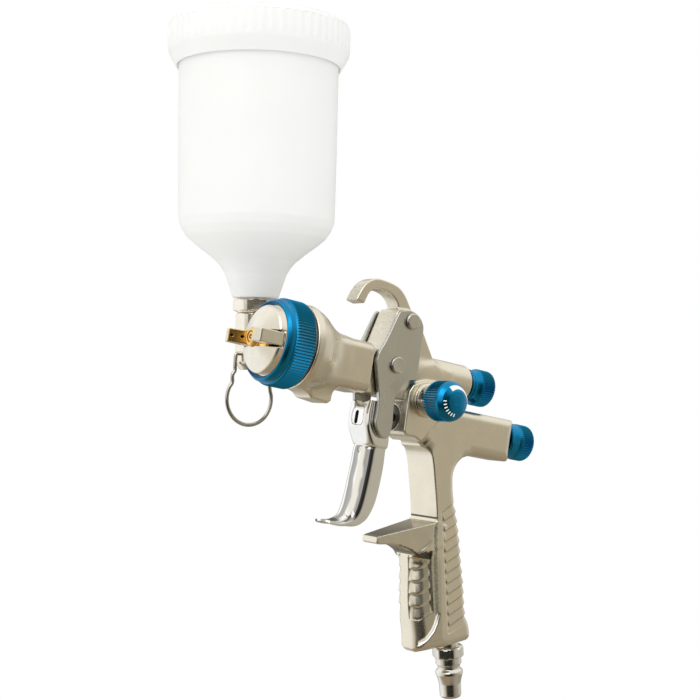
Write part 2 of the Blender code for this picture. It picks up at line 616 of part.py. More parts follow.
# ---- side inlet, swivel block and cup ----
# (station, radius) of the cup's outside, from its neck to its rim
CUP_OUTER = [
    (21.7, 9.8), (31.6, 13.0), (36.0, 16.0), (41.4, 22.6), (46.8, 29.4), (50.6, 32.2),
    (55.0, 33.3), (98.0, 33.9), (130.0, CUP_R)]
LID = [
    (120.0, 35.0), (120.0, 35.4), (123.4, 37.6), (126.5, LID_R), (136.0, LID_R - 0.1),
    (137.8, LID_R - 1.0), (138.8, LID_R - 2.6), (138.9, 1.6), (136.6, 1.6), (136.6, 32.0),
    (132.0, 35.0)]
HEX_TURN = math.radians(30)


def make_inlet():
    finish(tube("inlet_nipple", 13.0, 30.6, 2.4, 3.9, **ON_INLET), NICKEL)
    finish(hexagon("inlet_lock_nut", 19.3, 24.6, 15.0, 4.2, **ON_INLET), NICKEL)
    finish(tube("inlet_gasket", 24.9, 25.6, 4.2, 6.6, **ON_INLET), PTFE)


def make_swivel_block():
    swivel = hexagon("swivel_block", -6.8, 15.2, 15.0, turn=HEX_TURN, **ON_CUP)
    foot = [(-8.9, 0), (-8.9, 6.6), (-6.4, 8.2), (-5.4, 8.2), (-5.4, 0)]
    join(swivel, lathe(ADDED, foot, **ON_CUP))
    join(swivel, drum(ADDED, 25.9, 38.0, 8.0, **ON_INLET))
    inlet_bore = [(24.0, 0), (24.0, 4.3), (31.6, 4.3), (31.6, 2.6), (38.5, 2.6), (38.5, 0)]
    cut(swivel, lathe(CUTTER, inlet_bore, **ON_INLET))
    cup_bore = [(-0.7, 0), (-0.7, 2.7), (6.0, 2.7), (6.0, 5.2), (20.0, 5.2), (20.0, 0)]
    cut(swivel, lathe(CUTTER, cup_bore, **ON_CUP))
    for side in (-1, 1):                         # sockets for the clip's ends
        start = CLIP_PIVOT + Vector((side * 4.6, 0, 0))
        cut(swivel, drum(CUTTER, 0, 6.0, 1.25, origin=start, axis=(side, 0, 0), segments=12))
    finish(swivel, NICKEL, 30)


def make_stud():
    stud = lathe("cup_stud", [
        (6.6, 3.0), (6.6, 4.9), (15.5, 4.9), (15.5, 8.0), (16.0, 8.0), (16.0, 4.9), (24.0, 4.9),
        (24.0, 3.0)], closed=True, **ON_CUP)
    join(stud, hexagon(ADDED, 15.9, 21.2, 17.0, 4.0, HEX_TURN, **ON_CUP))
    finish(stud, NICKEL, 30)


def make_cup():
    inner = [(130.0, CUP_R - CUP_WALL)]
    inner += [(station + 0.9, radius - CUP_WALL) for station, radius in CUP_OUTER[7:1:-1]]
    inner += [(33.0, 9.0), (30.0, 5.3), (21.7, 5.3)]
    cup = lathe("cup_body", CUP_OUTER + inner, segments=24, closed=True, **ON_CUP)
    finish(cup, NYLON, 40)
    strainer = [(27.0, 3.0), (27.0, 4.7), (31.2, 4.7), (42.0, 7.4), (42.0, 5.8), (31.6, 3.0)]
    finish(lathe("paint_strainer", strainer, closed=True, **ON_CUP), PTFE)


def make_lid():
    finish(tube("lid_gasket", 130.4, 131.4, 31.4, 34.0, segments=24, **ON_CUP), PTFE)
    finish(lathe("cup_lid", LID, segments=26, closed=True, **ON_CUP), NYLON, 40)
    vent = [(135.6, 0), (135.6, 1.2), (139.3, 1.2), (139.3, 4.6), (141.6, 4.6), (142.2, 3.8),
            (142.2, 0)]
    finish(lathe("lid_vent_plug", vent, **ON_CUP), NYLON, 40)


def make_cup_clip():
    """Omega-shaped wire that hangs from the swivel block."""
    front = CLIP_PIVOT + Vector((-6.0, 0, 0))
    rear = CLIP_PIVOT + Vector((6.0, 0, 0))
    loop_centre = Vector((19.6, CUP_BASE.y, -21.4))
    loop_r = 11.0
    # (x, z) offsets from the two entry points
    front_leg = ((0.6, 0), (-2.6, 0), (-3.4, -0.9), (-2.9, -5.4), (-1.6, -8.0))
    rear_leg = ((2.4, -6.6), (3.6, -4.4), (3.4, -0.9), (2.6, 0), (-0.6, 0))
    angles = [math.radians(146 + 248 * i / 20) for i in range(21)]
    path = [front + Vector((x, 0, z)) for x, z in front_leg]
    path += [loop_centre + Vector((math.cos(angle), 0, math.sin(angle))) * loop_r
             for angle in angles]
    path += [rear + Vector((x, 0, z)) for x, z in rear_leg]
    finish(sweep("cup_clip", path, 0.85, 6), STEEL, 60)


# ---- build ----
make_body()
finish(lathe("fluid_nozzle", NOZZLE, segments=16, closed=True), BRASS)
make_baffle()
make_air_cap()
make_retaining_ring()
make_needle()
make_lever()
make_plates()
make_trigger_pins()
make_air_valve()
make_rear_knob("fluid", z=0.0, tube_end=UPPER_TUBE_END, grip_start=109.4, grip_end=115.9,
               spring_end=93.2)
make_rear_knob("air", z=AIR_Z, tube_end=LOWER_TUBE_END, grip_start=136.8, grip_end=143.2,
               spring_end=112.8)
make_pattern_valve()
make_plug()
make_inlet()
make_swivel_block()
make_stud()
make_cup()
make_lid()
make_cup_clip()

# ---- each moving piece's origin goes on its joint's axis, the hook's seat to the world's ----
# joint point, pieces that move about it; all other pieces take the hook's seat
JOINTS = (
    (PIVOT, ("trigger_lever", "trigger_plate_near", "trigger_plate_far", "valve_push_bar")),
    ((CROSS[0], 0, 0), ("fluid_needle", "needle_yoke", "needle_cross_pin_near",
                        "needle_cross_pin_far", "needle_collar")),
    ((76.0, 0, AIR_Z), ("air_valve_stem", "air_valve_spring_cup")),
    ((110.0, 0, 0), ("fluid_spring_seat", "fluid_knob")),
    ((137.0, 0, AIR_Z), ("air_spring_seat", "air_knob")),
    ((PATTERN[0], -20.0, PATTERN[2]), ("pattern_seal", "pattern_knob")),
    ((6.0, 0, 0), ("cap_retaining_clip", "retaining_ring")),
    ((0, 0, 0), ("air_cap", "air_cap_core")),
    ((19.3, 28.0, 0), ("swivel_block", "cup_stud", "cup_body", "paint_strainer")),
    (CUP_BASE, ("lid_gasket", "cup_lid", "lid_vent_plug")),
    (CLIP_PIVOT, ("cup_clip",)),
)
joint_of = {name: point for point, names in JOINTS for name in names}
for piece in bpy.context.scene.objects:
    joint = Vector(joint_of.get(piece.name, HOOK_SEAT))
    piece.data.transform(Matrix.Translation(-joint * MM))
    piece.location = (joint - Vector(HOOK_SEAT)) * MM
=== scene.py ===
"""Gravity-feed HVLP spray gun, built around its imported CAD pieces.

The gun lies with +X from the air cap back to the rear knobs, +Z up and its cup on the +Y side.
"Near" pieces are on the -Y side, "far" ones on the +Y side. Lengths are in millimetres from the
point where the spray axis meets the front rim of the air cap ring. Meshes are made in metres, and
each piece is moved by TO_SEAT, because the frame's origin is the seat of the hook.
"""
import math

import bmesh
import bpy
import numpy as np
from mathutils import Matrix, Vector


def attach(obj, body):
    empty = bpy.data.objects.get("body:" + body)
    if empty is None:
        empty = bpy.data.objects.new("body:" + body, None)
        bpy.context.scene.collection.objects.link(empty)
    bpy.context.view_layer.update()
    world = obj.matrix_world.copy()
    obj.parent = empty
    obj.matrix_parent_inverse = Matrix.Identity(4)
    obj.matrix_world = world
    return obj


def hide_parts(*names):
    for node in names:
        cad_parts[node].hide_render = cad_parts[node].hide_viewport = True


MM = 0.001
TO_SEAT = Vector((-0.0492, 0.0, -0.0307))
ALONG_X, ALONG_Y = (1, 0, 0), (0, 1, 0)

# Places shared by several pieces
AIR_Z = -20.3                   # height of the air valve and air knob axis
INLET_X = 19.3                  # the side inlet runs along Y at this x, z = 0
PIVOT = (63.6, 20.0)            # trigger pivot, (x, z)
PATTERN = (76.8, -11.3)         # axis of the pattern knob, (x, z)
PLUG_TOP, PLUG_END = (115.6, 0, -113.0), (121.9, 0, -136.4)

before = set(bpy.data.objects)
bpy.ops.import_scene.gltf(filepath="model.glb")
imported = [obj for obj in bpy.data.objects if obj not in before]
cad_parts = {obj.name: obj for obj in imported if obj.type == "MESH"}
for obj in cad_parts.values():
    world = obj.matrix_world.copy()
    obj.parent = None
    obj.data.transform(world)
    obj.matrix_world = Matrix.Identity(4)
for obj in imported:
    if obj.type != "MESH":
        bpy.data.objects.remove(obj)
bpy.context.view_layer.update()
scene = bpy.context.scene


# ------------------------------------------------------------------ shader nodes
class Nodes:
    """Short ways to add nodes to a shader tree. Values may be numbers, colours or sockets."""

    def __init__(self, tree):
        self.tree = tree

    def link(self, source, target):
        self.tree.links.new(source, target)

    def node(self, kind, **values):
        node = self.tree.nodes.new(kind)
        for key, value in values.items():
            setattr(node, key, value)
        return node

    def put(self, socket, value):
        if isinstance(value, bpy.types.NodeSocket):
            self.link(value, socket)
        elif isinstance(value, (int, float)):
            socket.default_value = value
        else:
            socket.default_value = (*value, 1.0)

    def span(self, value, low, high, out_low=0.0, out_high=1.0, kind="LINEAR"):
        node = self.node("ShaderNodeMapRange", interpolation_type=kind)
        limits = {"From Min": low, "From Max": high, "To Min": out_low, "To Max": out_high}
        for key, limit in limits.items():
            node.inputs[key].default_value = limit
        self.link(value, node.inputs["Value"])
        return node.outputs[0]

    def mix(self, factor, first, second, blend="MIX"):
        node = self.node("ShaderNodeMix", data_type="RGBA", blend_type=blend)
        self.put(node.inputs["Factor"], factor)
        self.put(node.inputs[6], first)
        self.put(node.inputs[7], second)
        return node.outputs[2]

    def math(self, operation, *values):
        node = self.node("ShaderNodeMath", operation=operation)
        for socket, value in zip(node.inputs, values):
            self.put(socket, value)
        return node.outputs[0]

    def ramp(self, value, stops, kind="LINEAR"):
        """Colour ramp from (position, colour) stops."""
        node = self.node("ShaderNodeValToRGB")
        node.color_ramp.interpolation = kind
        elements = node.color_ramp.elements
        while len(elements) > 1:
            elements.remove(elements[-1])
        for k, (position, colour) in enumerate(stops):
            element = elements[0] if k == 0 else elements.new(position)
            element.position = position
            element.color = (*colour, 1.0)
        self.link(value, node.inputs[0])
        return node.outputs[0]

    def axes(self, vector):
        node = self.node("ShaderNodeSeparateXYZ")
        self.link(vector, node.inputs[0])
        return node.outputs

    def mix_shader(self, factor, first, second):
        node = self.node("ShaderNodeMixShader")
        self.put(node.inputs[0], factor)
        self.link(first, node.inputs[1])
        self.link(second, node.inputs[2])
        return node.outputs[0]


def principled(mat):
    return next(n for n in mat.node_tree.nodes if n.type == "BSDF_PRINCIPLED")


class Surface(Nodes):
    """A new material with a principled shader, or a copy of another material to change."""

    def __init__(self, name, source=None):
        self.mat = source.copy() if source else bpy.data.materials.new(name)
        self.mat.name = name
        self.mat.use_nodes = True
        super().__init__(self.mat.node_tree)
        if source:
            self.bsdf = principled(self.mat)
        else:
            self.tree.nodes.clear()
            self.out = self.node("ShaderNodeOutputMaterial")
            self.bsdf = self.node("ShaderNodeBsdfPrincipled")
            self.link(self.bsdf.outputs[0], self.out.inputs[0])
        self.coord = self.node("ShaderNodeTexCoord").outputs["Object"]

    def noise(self, size_mm, detail=3.0, rough=0.55, vector=None):
        node = self.node("ShaderNodeTexNoise")
        node.inputs["Scale"].default_value = 1000.0 / size_mm
        node.inputs["Detail"].default_value = detail
        node.inputs["Roughness"].default_value = rough
        self.link(vector or self.coord, node.inputs["Vector"])
        return node.outputs["Fac"]

    def bump(self, height, depth_mm):
        node = self.node("ShaderNodeBump")
        node.inputs["Strength"].default_value = 1.0
        node.inputs["Distance"].default_value = depth_mm * MM
        self.link(height, node.inputs["Height"])
        self.link(node.outputs[0], self.bsdf.inputs["Normal"])

    def set(self, name, value):
        self.put(self.bsdf.inputs[name], value)


def glow(mat, colour, strength):
    inputs = principled(mat).inputs
    inputs["Emission Color"].default_value = (*colour, 1.0)
    inputs["Emission Strength"].default_value = strength


# ------------------------------------------------------------------ materials
def metal(name, colour, tint, rough, spread, grain, depth, patch, most_tint=0.5, stretch=None):
    """Metal with fine grain in its normal and broad patches in colour and roughness."""
    t = Surface(name)
    t.set("Metallic", 1.0)
    vector = None
    if stretch:
        mapping = t.node("ShaderNodeMapping")
        mapping.inputs["Scale"].default_value = stretch
        t.link(t.coord, mapping.inputs["Vector"])
        vector = mapping.outputs[0]
    fine = t.noise(grain, detail=4.0, rough=0.6, vector=vector)
    broad = t.noise(patch, detail=3.0, rough=0.5)
    tinted = t.mix(t.span(broad, 0.35, 0.65, 0.0, most_tint), colour,
                   tint or [c * 0.86 for c in colour])
    t.set("Base Color", t.mix(t.span(fine, 0.3, 0.7, 0.0, 0.22), tinted, [c * 0.8 for c in colour]))
    both = t.math("ADD", t.math("MULTIPLY", fine, 0.5), t.math("MULTIPLY", broad, 0.5))
    t.set("Roughness", t.span(both, 0.3, 0.7, rough - spread, rough + spread))
    t.bump(fine, depth)
    return t.mat


# key, material name, colour, patch tint (None: darker colour),
# then roughness, its spread, grain size, bump depth, patch size (lengths in mm),
# and optionally the most tint and the stretch of the grain
METALS = (
    ("cast", "cast_nickel_satin", (0.86, 0.80, 0.665), (0.80, 0.765, 0.66),
     0.30, 0.07, 0.42, 0.010, 7.0, 0.7),
    ("chrome", "polished_chrome", (0.90, 0.90, 0.885), (0.86, 0.865, 0.85),
     0.06, 0.025, 1.6, 0.0035, 6.0),
    ("stipple", "stippled_strip", (0.55, 0.58, 0.52), (0.22, 0.25, 0.23),
     0.42, 0.5, 0.55, 0.03, 2.2),
    # painted highlight: the bright arc at the foot of the grip, which also glows
    ("glint", "scooped_groove_with_painted_glint", (0.98, 0.97, 0.94), (0.95, 0.94, 0.92), 0.3, 0.05, 0.3, 0.004, 8.0),
    # painted reflection of the blue pattern knob on the near plate's rim
    ("blue_painted_reflection", "painted_knob_reflection_on_plate_edge", (0.05, 0.32, 0.60), (0.04, 0.28, 0.52),
     0.25, 0.05, 0.25, 0.004, 5.0),
    ("plate", "brushed_plate_steel", (0.66, 0.655, 0.61), (0.60, 0.60, 0.565),
     0.30, 0.08, 0.22, 0.006, 10.0, 0.5, (1.0, 1.0, 0.12)),
    ("pin", "turned_pin_steel", (0.70, 0.685, 0.63), None, 0.24, 0.06, 0.3, 0.004, 2.0),
    ("nickel", "satin_nickel", (0.88, 0.83, 0.72), (0.82, 0.78, 0.69), 0.22, 0.06, 0.3, 0.005, 4.0),
    ("cap", "air_cap_nickel", (0.88, 0.84, 0.74), (0.82, 0.78, 0.68), 0.27, 0.05, 0.25, 0.006, 3.0),
    ("steel", "bright_steel", (0.83, 0.81, 0.76), (0.76, 0.74, 0.69), 0.16, 0.06, 0.3, 0.004, 3.0),
    ("wire", "spring_wire_steel", (0.60, 0.59, 0.54), (0.5, 0.49, 0.45),
     0.22, 0.06, 0.3, 0.004, 2.0),
    ("blue", "blue_anodised_aluminium", (0.012, 0.265, 0.54), (0.010, 0.22, 0.47),
     0.30, 0.05, 0.27, 0.004, 5.0),
    # painted shade: darker blue for the floors of the flutes and the ring's front lip
    ("blue_painted_shade", "blue_anodised_painted_shade", (0.004, 0.085, 0.22), (0.003, 0.07, 0.18),
     0.36, 0.05, 0.3, 0.004, 5.0),
    ("brass", "machined_brass", (0.92, 0.60, 0.19), (0.86, 0.52, 0.14),
     0.24, 0.07, 0.25, 0.005, 2.0),
    # dark steel, also used as painted shade in the groove behind the ring and in the air cap's jets
    ("dark", "dark_steel_and_painted_shade", (0.20, 0.19, 0.17), (0.14, 0.13, 0.12),
     0.4, 0.08, 0.3, 0.005, 3.0),
)


def plastic(name, colour, rough, depth, grain):
    t = Surface(name)
    fine = t.noise(grain)
    broad = t.noise(14.0, detail=2.0, rough=0.5)
    patches = t.span(broad, 0.35, 0.65)
    t.set("Base Color", t.mix(patches, colour, [c * 0.985 for c in colour]))
    t.set("Roughness", t.span(fine, 0.3, 0.7, rough - 0.05, rough + 0.05))
    t.bsdf.inputs["Subsurface Scale"].default_value = 0.003
    t.bsdf.inputs["Subsurface Radius"].default_value = (1.0, 1.0, 0.95)
    t.bump(fine, depth)
    return t.mat


# key, material name, colour, roughness, bump depth, grain size
PLASTICS = (
    ("nylon", "translucent_white_nylon", (0.93, 0.935, 0.93), 0.38, 0.004, 0.6),
    ("ptfe", "white_ptfe", (0.84, 0.83, 0.80), 0.5, 0.004, 0.4),
    # black rubber for the seals, also used as painted shade in and behind the lever's slot
    ("rubber", "black_rubber", (0.022, 0.022, 0.022), 0.65, 0.01, 0.4),
    ("paint", "white_mark_ink", (0.83, 0.83, 0.78), 0.45, 0.004, 0.3),
)


def nylon_wall():
    """Milky nylon: light passes into the wall, so that it glows from behind."""
    t = Surface("cup_nylon")
    fine = t.noise(0.6)
    broad = t.noise(26.0, detail=2.0, rough=0.5)
    patches = t.span(broad, 0.3, 0.7)
    t.set("Base Color", t.mix(patches, (0.945, 0.948, 0.945), (0.925, 0.932, 0.93)))
    t.set("Roughness", t.span(fine, 0.3, 0.7, 0.32, 0.42))
    t.bump(fine, 0.004)
    lit = t.node("ShaderNodeBsdfTranslucent")
    lit.inputs["Color"].default_value = (0.95, 0.95, 0.94, 1.0)
    t.link(t.mix_shader(0.35, t.bsdf.outputs[0], lit.outputs[0]), t.out.inputs[0])
    return t.mat


def channel_chrome():
    """Chrome with painted reflections: bright and dark upright bands across the finger channel's
    rounded front.
    """
    # position from the near edge to the far one, brightness of the painted reflection
    bands = [(0.0, 0.75), (0.05, 0.45), (0.25, 0.36), (0.31, 1.0), (0.46, 1.0), (0.54, 0.42),
             (0.74, 0.34), (0.80, 0.95), (0.90, 0.95), (0.94, 0.12), (1.0, 0.10)]
    waver = 0.0035          # metres the bands wander
    t = Surface("chrome_with_painted_reflection_bands", MATS["chrome"])
    wave = t.noise(1000 / 90, detail=1.5, rough=0.5)
    across = t.math("MULTIPLY_ADD", wave, waver, t.axes(t.coord)["Y"])
    place = t.span(across, -0.0068, 0.0072)
    t.set("Base Color", t.ramp(place, [(at, (v, v * 0.985, v * 0.95)) for at, v in bands]))
    return t.mat


def cast_with_painted_shade(name, tones):
    """The casting's nickel with painted shade that changes along its length. tones holds (x, tone).
    """
    t = Surface(name, MATS["cast"])
    first, last = tones[0][0], tones[-1][0]
    stops = [((x - first) / (last - first), (v, v * 0.97, v * 0.88)) for x, v in tones]
    place = t.span(t.axes(t.coord)["X"], first * MM, last * MM)
    plain = t.bsdf.inputs["Base Color"].links[0].from_socket
    t.set("Base Color", t.mix(1.0, plain, t.ramp(place, stops), blend="MULTIPLY"))
    return t.mat


MATS = {key: metal(*row) for key, *row in METALS}
MATS.update({key: plastic(*row) for key, *row in PLASTICS})
MATS["cup"] = nylon_wall()
# painted highlight: the arc's glint material glows
glow(MATS["glint"], (1.0, 0.98, 0.92), strength=0.45)
for milky in ("cup", "nylon"):
    # stands in for light scattered inside the wall
    glow(MATS[milky], (1.0, 1.0, 0.995), strength=0.018)
BLUES = ("blue", "blue_painted_shade")


# ------------------------------------------------------------------ mesh helpers
def add_piece(name, mesh, mats, body, replaced=None):
    """Adds a piece. mats is a key of MATS, or a tuple of keys or materials."""
    piece = bpy.data.objects.new(name, mesh)
    piece.location = TO_SEAT
    scene.collection.objects.link(piece)
    mesh.materials.clear()
    for mat in mats if isinstance(mats, tuple) else (mats,):
        mesh.materials.append(MATS[mat] if isinstance(mat, str) else mat)
    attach(piece, body)
    if replaced:
        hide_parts(replaced)
    return piece


def mesh_of(name, verts, faces):
    """verts in mm, faces an (n, 4) array or a list of tuples."""
    mesh = bpy.data.meshes.new(name)
    if isinstance(faces, np.ndarray):
        mesh.vertices.add(len(verts))
        mesh.vertices.foreach_set("co", (np.asarray(verts, np.float32) * MM).ravel())
        count, sides = faces.shape
        mesh.loops.add(count * sides)
        mesh.loops.foreach_set("vertex_index", faces.astype(np.int32).ravel())
        mesh.polygons.add(count)
        starts = np.arange(0, count * sides, sides, dtype=np.int32)
        mesh.polygons.foreach_set("loop_start", starts)
        mesh.update(calc_edges=True)
    else:
        mesh.from_pydata([tuple(c * MM for c in v) for v in verts], [], faces)
    mesh.validate()
    return mesh


def smooth(mesh, angle=35.0):
    mesh.shade_smooth()
    mesh.set_sharp_from_angle(angle=math.radians(angle))
    return mesh


def turn_outwards(mesh, weld=False, check_volume=True):
    bm = bmesh.new()
    bm.from_mesh(mesh)
    if weld:
        bmesh.ops.remove_doubles(bm, verts=bm.verts, dist=1e-7)
    bmesh.ops.recalc_face_normals(bm, faces=bm.faces)
    if check_volume and bm.calc_volume(signed=True) < 0:
        bmesh.ops.reverse_faces(bm, faces=bm.faces)
    bm.to_mesh(mesh)
    bm.free()


def mesh_from(name, bm, angle, recalc=True):
    if recalc:
        bmesh.ops.recalc_face_normals(bm, faces=bm.faces)
    mesh = bpy.data.meshes.new(name)
    bm.to_mesh(mesh)
    bm.free()
    return smooth(mesh, angle)


def evaluated_mesh(piece):
    """The piece's final mesh; the piece itself is removed."""
    bpy.context.view_layer.update()
    depsgraph = bpy.context.evaluated_depsgraph_get()
    mesh = bpy.data.meshes.new_from_object(piece.evaluated_get(depsgraph))
    bpy.data.objects.remove(piece, do_unlink=True)
    return mesh


def merge(name, meshes):
    bm = bmesh.new()
    for mesh in meshes:
        bm.from_mesh(mesh)
    return mesh_from(name, bm, 35, recalc=False)


def face_array(mesh, what):
    values = np.empty(len(mesh.polygons) * 3)
    mesh.polygons.foreach_get(what, values)
    return values.reshape(-1, 3)


def paint_faces(mesh, index):
    mesh.polygons.foreach_set("material_index", index.astype(np.int32))
    mesh.update()


def frame_for(axis):
    """Two directions square to the axis, and its unit direction."""
    along = Vector(axis).normalized()
    side = Vector((0, 1, 0)) if abs(along.y) < 0.9 else Vector((1, 0, 0))
    first = side.cross(along).normalized()
    return first, along.cross(first), along


def fillet(points, closed, default=0.2, steps=4):
    """Rounds each corner of a polyline. A point may carry its own radius as a third number."""
    out = []
    count = len(points)
    for i, point in enumerate(points):
        radius = point[2] if len(point) > 2 else default
        here = np.array(point[:2], float)
        if radius <= 0 or (not closed and i in (0, count - 1)):
            out.append(here)
            continue
        back = np.array(points[i - 1][:2], float) - here
        ahead = np.array(points[(i + 1) % count][:2], float) - here
        back_len, ahead_len = np.linalg.norm(back), np.linalg.norm(ahead)
        if back_len < 1e-9 or ahead_len < 1e-9:
            continue
        half = math.acos(float(np.clip(back @ ahead / back_len / ahead_len, -1, 1))) / 2
        if half > math.radians(86):
            out.append(here)
            continue
        reach = min(radius / math.tan(half), 0.46 * back_len, 0.46 * ahead_len)
        start, end = here + back / back_len * reach, here + ahead / ahead_len * reach
        for k in range(steps + 1):
            t = k / steps
            out.append((1 - t) ** 2 * start + 2 * t * (1 - t) * here + t * t * end)
    return np.array(out)


def densify(profile, longest):
    out = [profile[0]]
    for a, b in zip(profile, profile[1:]):
        count = max(1, int(math.ceil(np.linalg.norm(b - a) / longest)))
        for k in range(1, count + 1):
            out.append(a + (b - a) * k / count)
    return np.array(out)


def lathe_mesh(name, profile, origin, axis, segments=96, closed=False, default=0.2, flute=None,
               longest=None, angle=35.0):
    """Revolves (station, radius[, corner radius]) about the axis.

    flute cuts `count` straight grooves, `depth` deep from `radius`, into stations first..last.
    """
    points = fillet(profile, closed, default)
    if longest and closed:
        points = densify(np.vstack([points, points[:1]]), longest)[:-1]
    elif longest:
        points = densify(points, longest)
    side, up, along = (np.array(q) for q in frame_for(axis))
    origin = np.array(origin, float)
    turns = np.arange(segments) * 2 * math.pi / segments
    ring = np.cos(turns)[:, None] * side + np.sin(turns)[:, None] * up
    if flute:
        wave = 0.5 - 0.5 * np.cos(flute["count"] * turns)
        limit = flute["radius"] - flute["depth"] * wave ** 0.75
    verts, rows = [], []
    count = 0
    for station, radius in points:
        if radius <= 1e-6:
            verts.append((origin + along * station)[None])
            rows.append((count, 1))
            count += 1
            continue
        radii = np.full(segments, radius)
        if flute and flute["first"] <= station <= flute["last"]:
            radii = np.minimum(radii, limit)
        verts.append(origin + along * station + ring * radii[:, None])
        rows.append((count, segments))
        count += segments
    faces = []
    pairs = list(zip(rows, rows[1:]))
    if closed:
        pairs.append((rows[-1], rows[0]))
    around = [(i, (i + 1) % segments) for i in range(segments)]
    for (a, a_count), (b, b_count) in pairs:
        if a_count == 1 and b_count == 1:
            continue
        if a_count == 1:
            faces += [(a, b + i, b + j) for i, j in around]
        elif b_count == 1:
            faces += [(a + i, b, a + j) for i, j in around]
        else:
            faces += [(a + i, b + i, b + j, a + j) for i, j in around]
    mesh = bpy.data.meshes.new(name)
    mesh.from_pydata((np.vstack(verts) * MM).tolist(), [], faces)
    turn_outwards(mesh)
    if flute:
        # mark the floors of the grooves for a second material: painted shade, where that material
        # is a darker one
        centre = face_array(mesh, "center") / MM - origin
        station = centre @ along
        away = centre - station[:, None] * along
        turns = np.arctan2(away @ up, away @ side)
        deep = (0.5 - 0.5 * np.cos(flute["count"] * turns)) > 0.55
        inside = (station > flute["first"]) & (station < flute["last"])
        inside &= np.linalg.norm(away, axis=1) > flute["radius"] - flute["depth"] * 1.6
        mesh.polygons.foreach_set("material_index", (deep & inside).astype(np.int32))
    return smooth(mesh, angle)


def lathe(name, profile, origin, axis, mats, body, replaced, slot, **shape):
    mesh = lathe_mesh(name, profile, origin, axis, **shape)
    return add_piece(name, mesh, mats, body, replaced)


def circle(centre, radius, count=40):
    return [(centre[0] + radius * math.cos(2 * math.pi * i / count),
             centre[1] + radius * math.sin(2 * math.pi * i / count)) for i in range(count)]


def catmull_rom(p0, p1, p2, p3, step):
    """Points from p1 up to, but not including, p2."""
    count = max(1, int(np.linalg.norm(p2 - p1) / step))
    out = []
    for k in range(count):
        t = k / count
        out.append(0.5 * ((2 * p1) + (p2 - p0) * t + (2 * p0 - 5 * p1 + 4 * p2 - p3) * t * t
                          + (3 * p1 - p0 - 3 * p2 + p3) * t ** 3))
    return out


def curve_outline(points, step, sharp):
    """A smooth closed outline through the points; sharp lists the indices of hard corners."""
    pts = [np.array(p, float) for p in points]
    count = len(pts)
    out = []
    for i in range(count):
        p1, p2 = pts[i], pts[(i + 1) % count]
        p0 = pts[i - 1] if i not in sharp else p1
        p3 = pts[(i + 2) % count] if (i + 1) % count not in sharp else p2
        out += catmull_rom(p0, p1, p2, p3, step)
    return [tuple(p) for p in out]


def slab_mesh(name, outlines, across, low, high, bevel, steps):
    """A bevelled slab. The first outline is the rim, the rest are holes.

    across is the axis of its thickness: "y" for (x, z) outlines, "x" for (y, z).
    """
    data = bpy.data.curves.new(name, "CURVE")
    data.dimensions = "2D"
    data.fill_mode = "BOTH"
    data.extrude = ((high - low) / 2 - bevel) * MM
    data.bevel_depth = bevel * MM
    data.bevel_resolution = steps
    data.offset = -bevel * MM
    for outline in outlines:
        spline = data.splines.new("POLY")
        spline.points.add(len(outline) - 1)
        for point, (a, b) in zip(spline.points, outline):
            point.co = (a * MM, b * MM, 0, 1)
        spline.use_cyclic_u = True
    curve = bpy.data.objects.new(name, data)
    scene.collection.objects.link(curve)
    mesh = evaluated_mesh(curve)
    middle = (low + high) / 2 * MM
    if across == "y":
        matrix = Matrix(((1, 0, 0, 0), (0, 0, -1, middle), (0, 1, 0, 0), (0, 0, 0, 1)))
    else:
        matrix = Matrix(((0, 0, 1, middle), (1, 0, 0, 0), (0, 1, 0, 0), (0, 0, 0, 1)))
    mesh.transform(matrix)
    turn_outwards(mesh, weld=True)
    return smooth(mesh)


def hexagon_mesh(name, start, end, flats, bore=0.0, turn=0.0):
    """A hexagonal nut with rounded edges and a turned chamfer on both ends."""
    start = Vector(start)
    run = Vector(end) - start
    side, up, along = frame_for(run)
    length = run.length
    count = 96
    corner = flats / math.sqrt(3)
    turns = [2 * math.pi * i / count for i in range(count)]
    bm = bmesh.new()

    def radius(t, limit):
        flat = flats / 2 / math.cos(((t - turn) % (math.pi / 3)) - math.pi / 6)
        soft = -math.log(math.exp(-6 * flat) + math.exp(-6 * (corner - 0.30))) / 6
        return min(soft, limit)

    def ring(station, radius_at):
        return [bm.verts.new((start + along * station
                              + (side * math.cos(t) + up * math.sin(t)) * radius_at(t)) * MM)
                for t in turns]

    chamfer = [(0.0, flats / 2 - 0.25), (0.12, flats / 2 - 0.02), (0.55, corner - 0.35),
               (0.8, corner), (length / 2, corner)]
    stations = chamfer + [(length - s, limit) for s, limit in chamfer[::-1]][1:]
    rows = [ring(s, lambda t: radius(t, limit)) for s, limit in stations]
    around = [(i, (i + 1) % count) for i in range(count)]
    for p, q in zip(rows, rows[1:]):
        for i, j in around:
            bm.faces.new((p[i], q[i], q[j], p[j]))
    first, last = rows[0], rows[-1]
    if bore:
        inner = [ring(s, lambda t: bore) for s in (0, length)]
        for i, j in around:
            bm.faces.new((first[i], first[j], inner[0][j], inner[0][i]))
            bm.faces.new((last[j], last[i], inner[1][i], inner[1][j]))
            bm.faces.new((inner[0][i], inner[0][j], inner[1][j], inner[1][i]))
    else:
        bm.faces.new(first[::-1])
        bm.faces.new(last)
    return mesh_from(name, bm, 30)


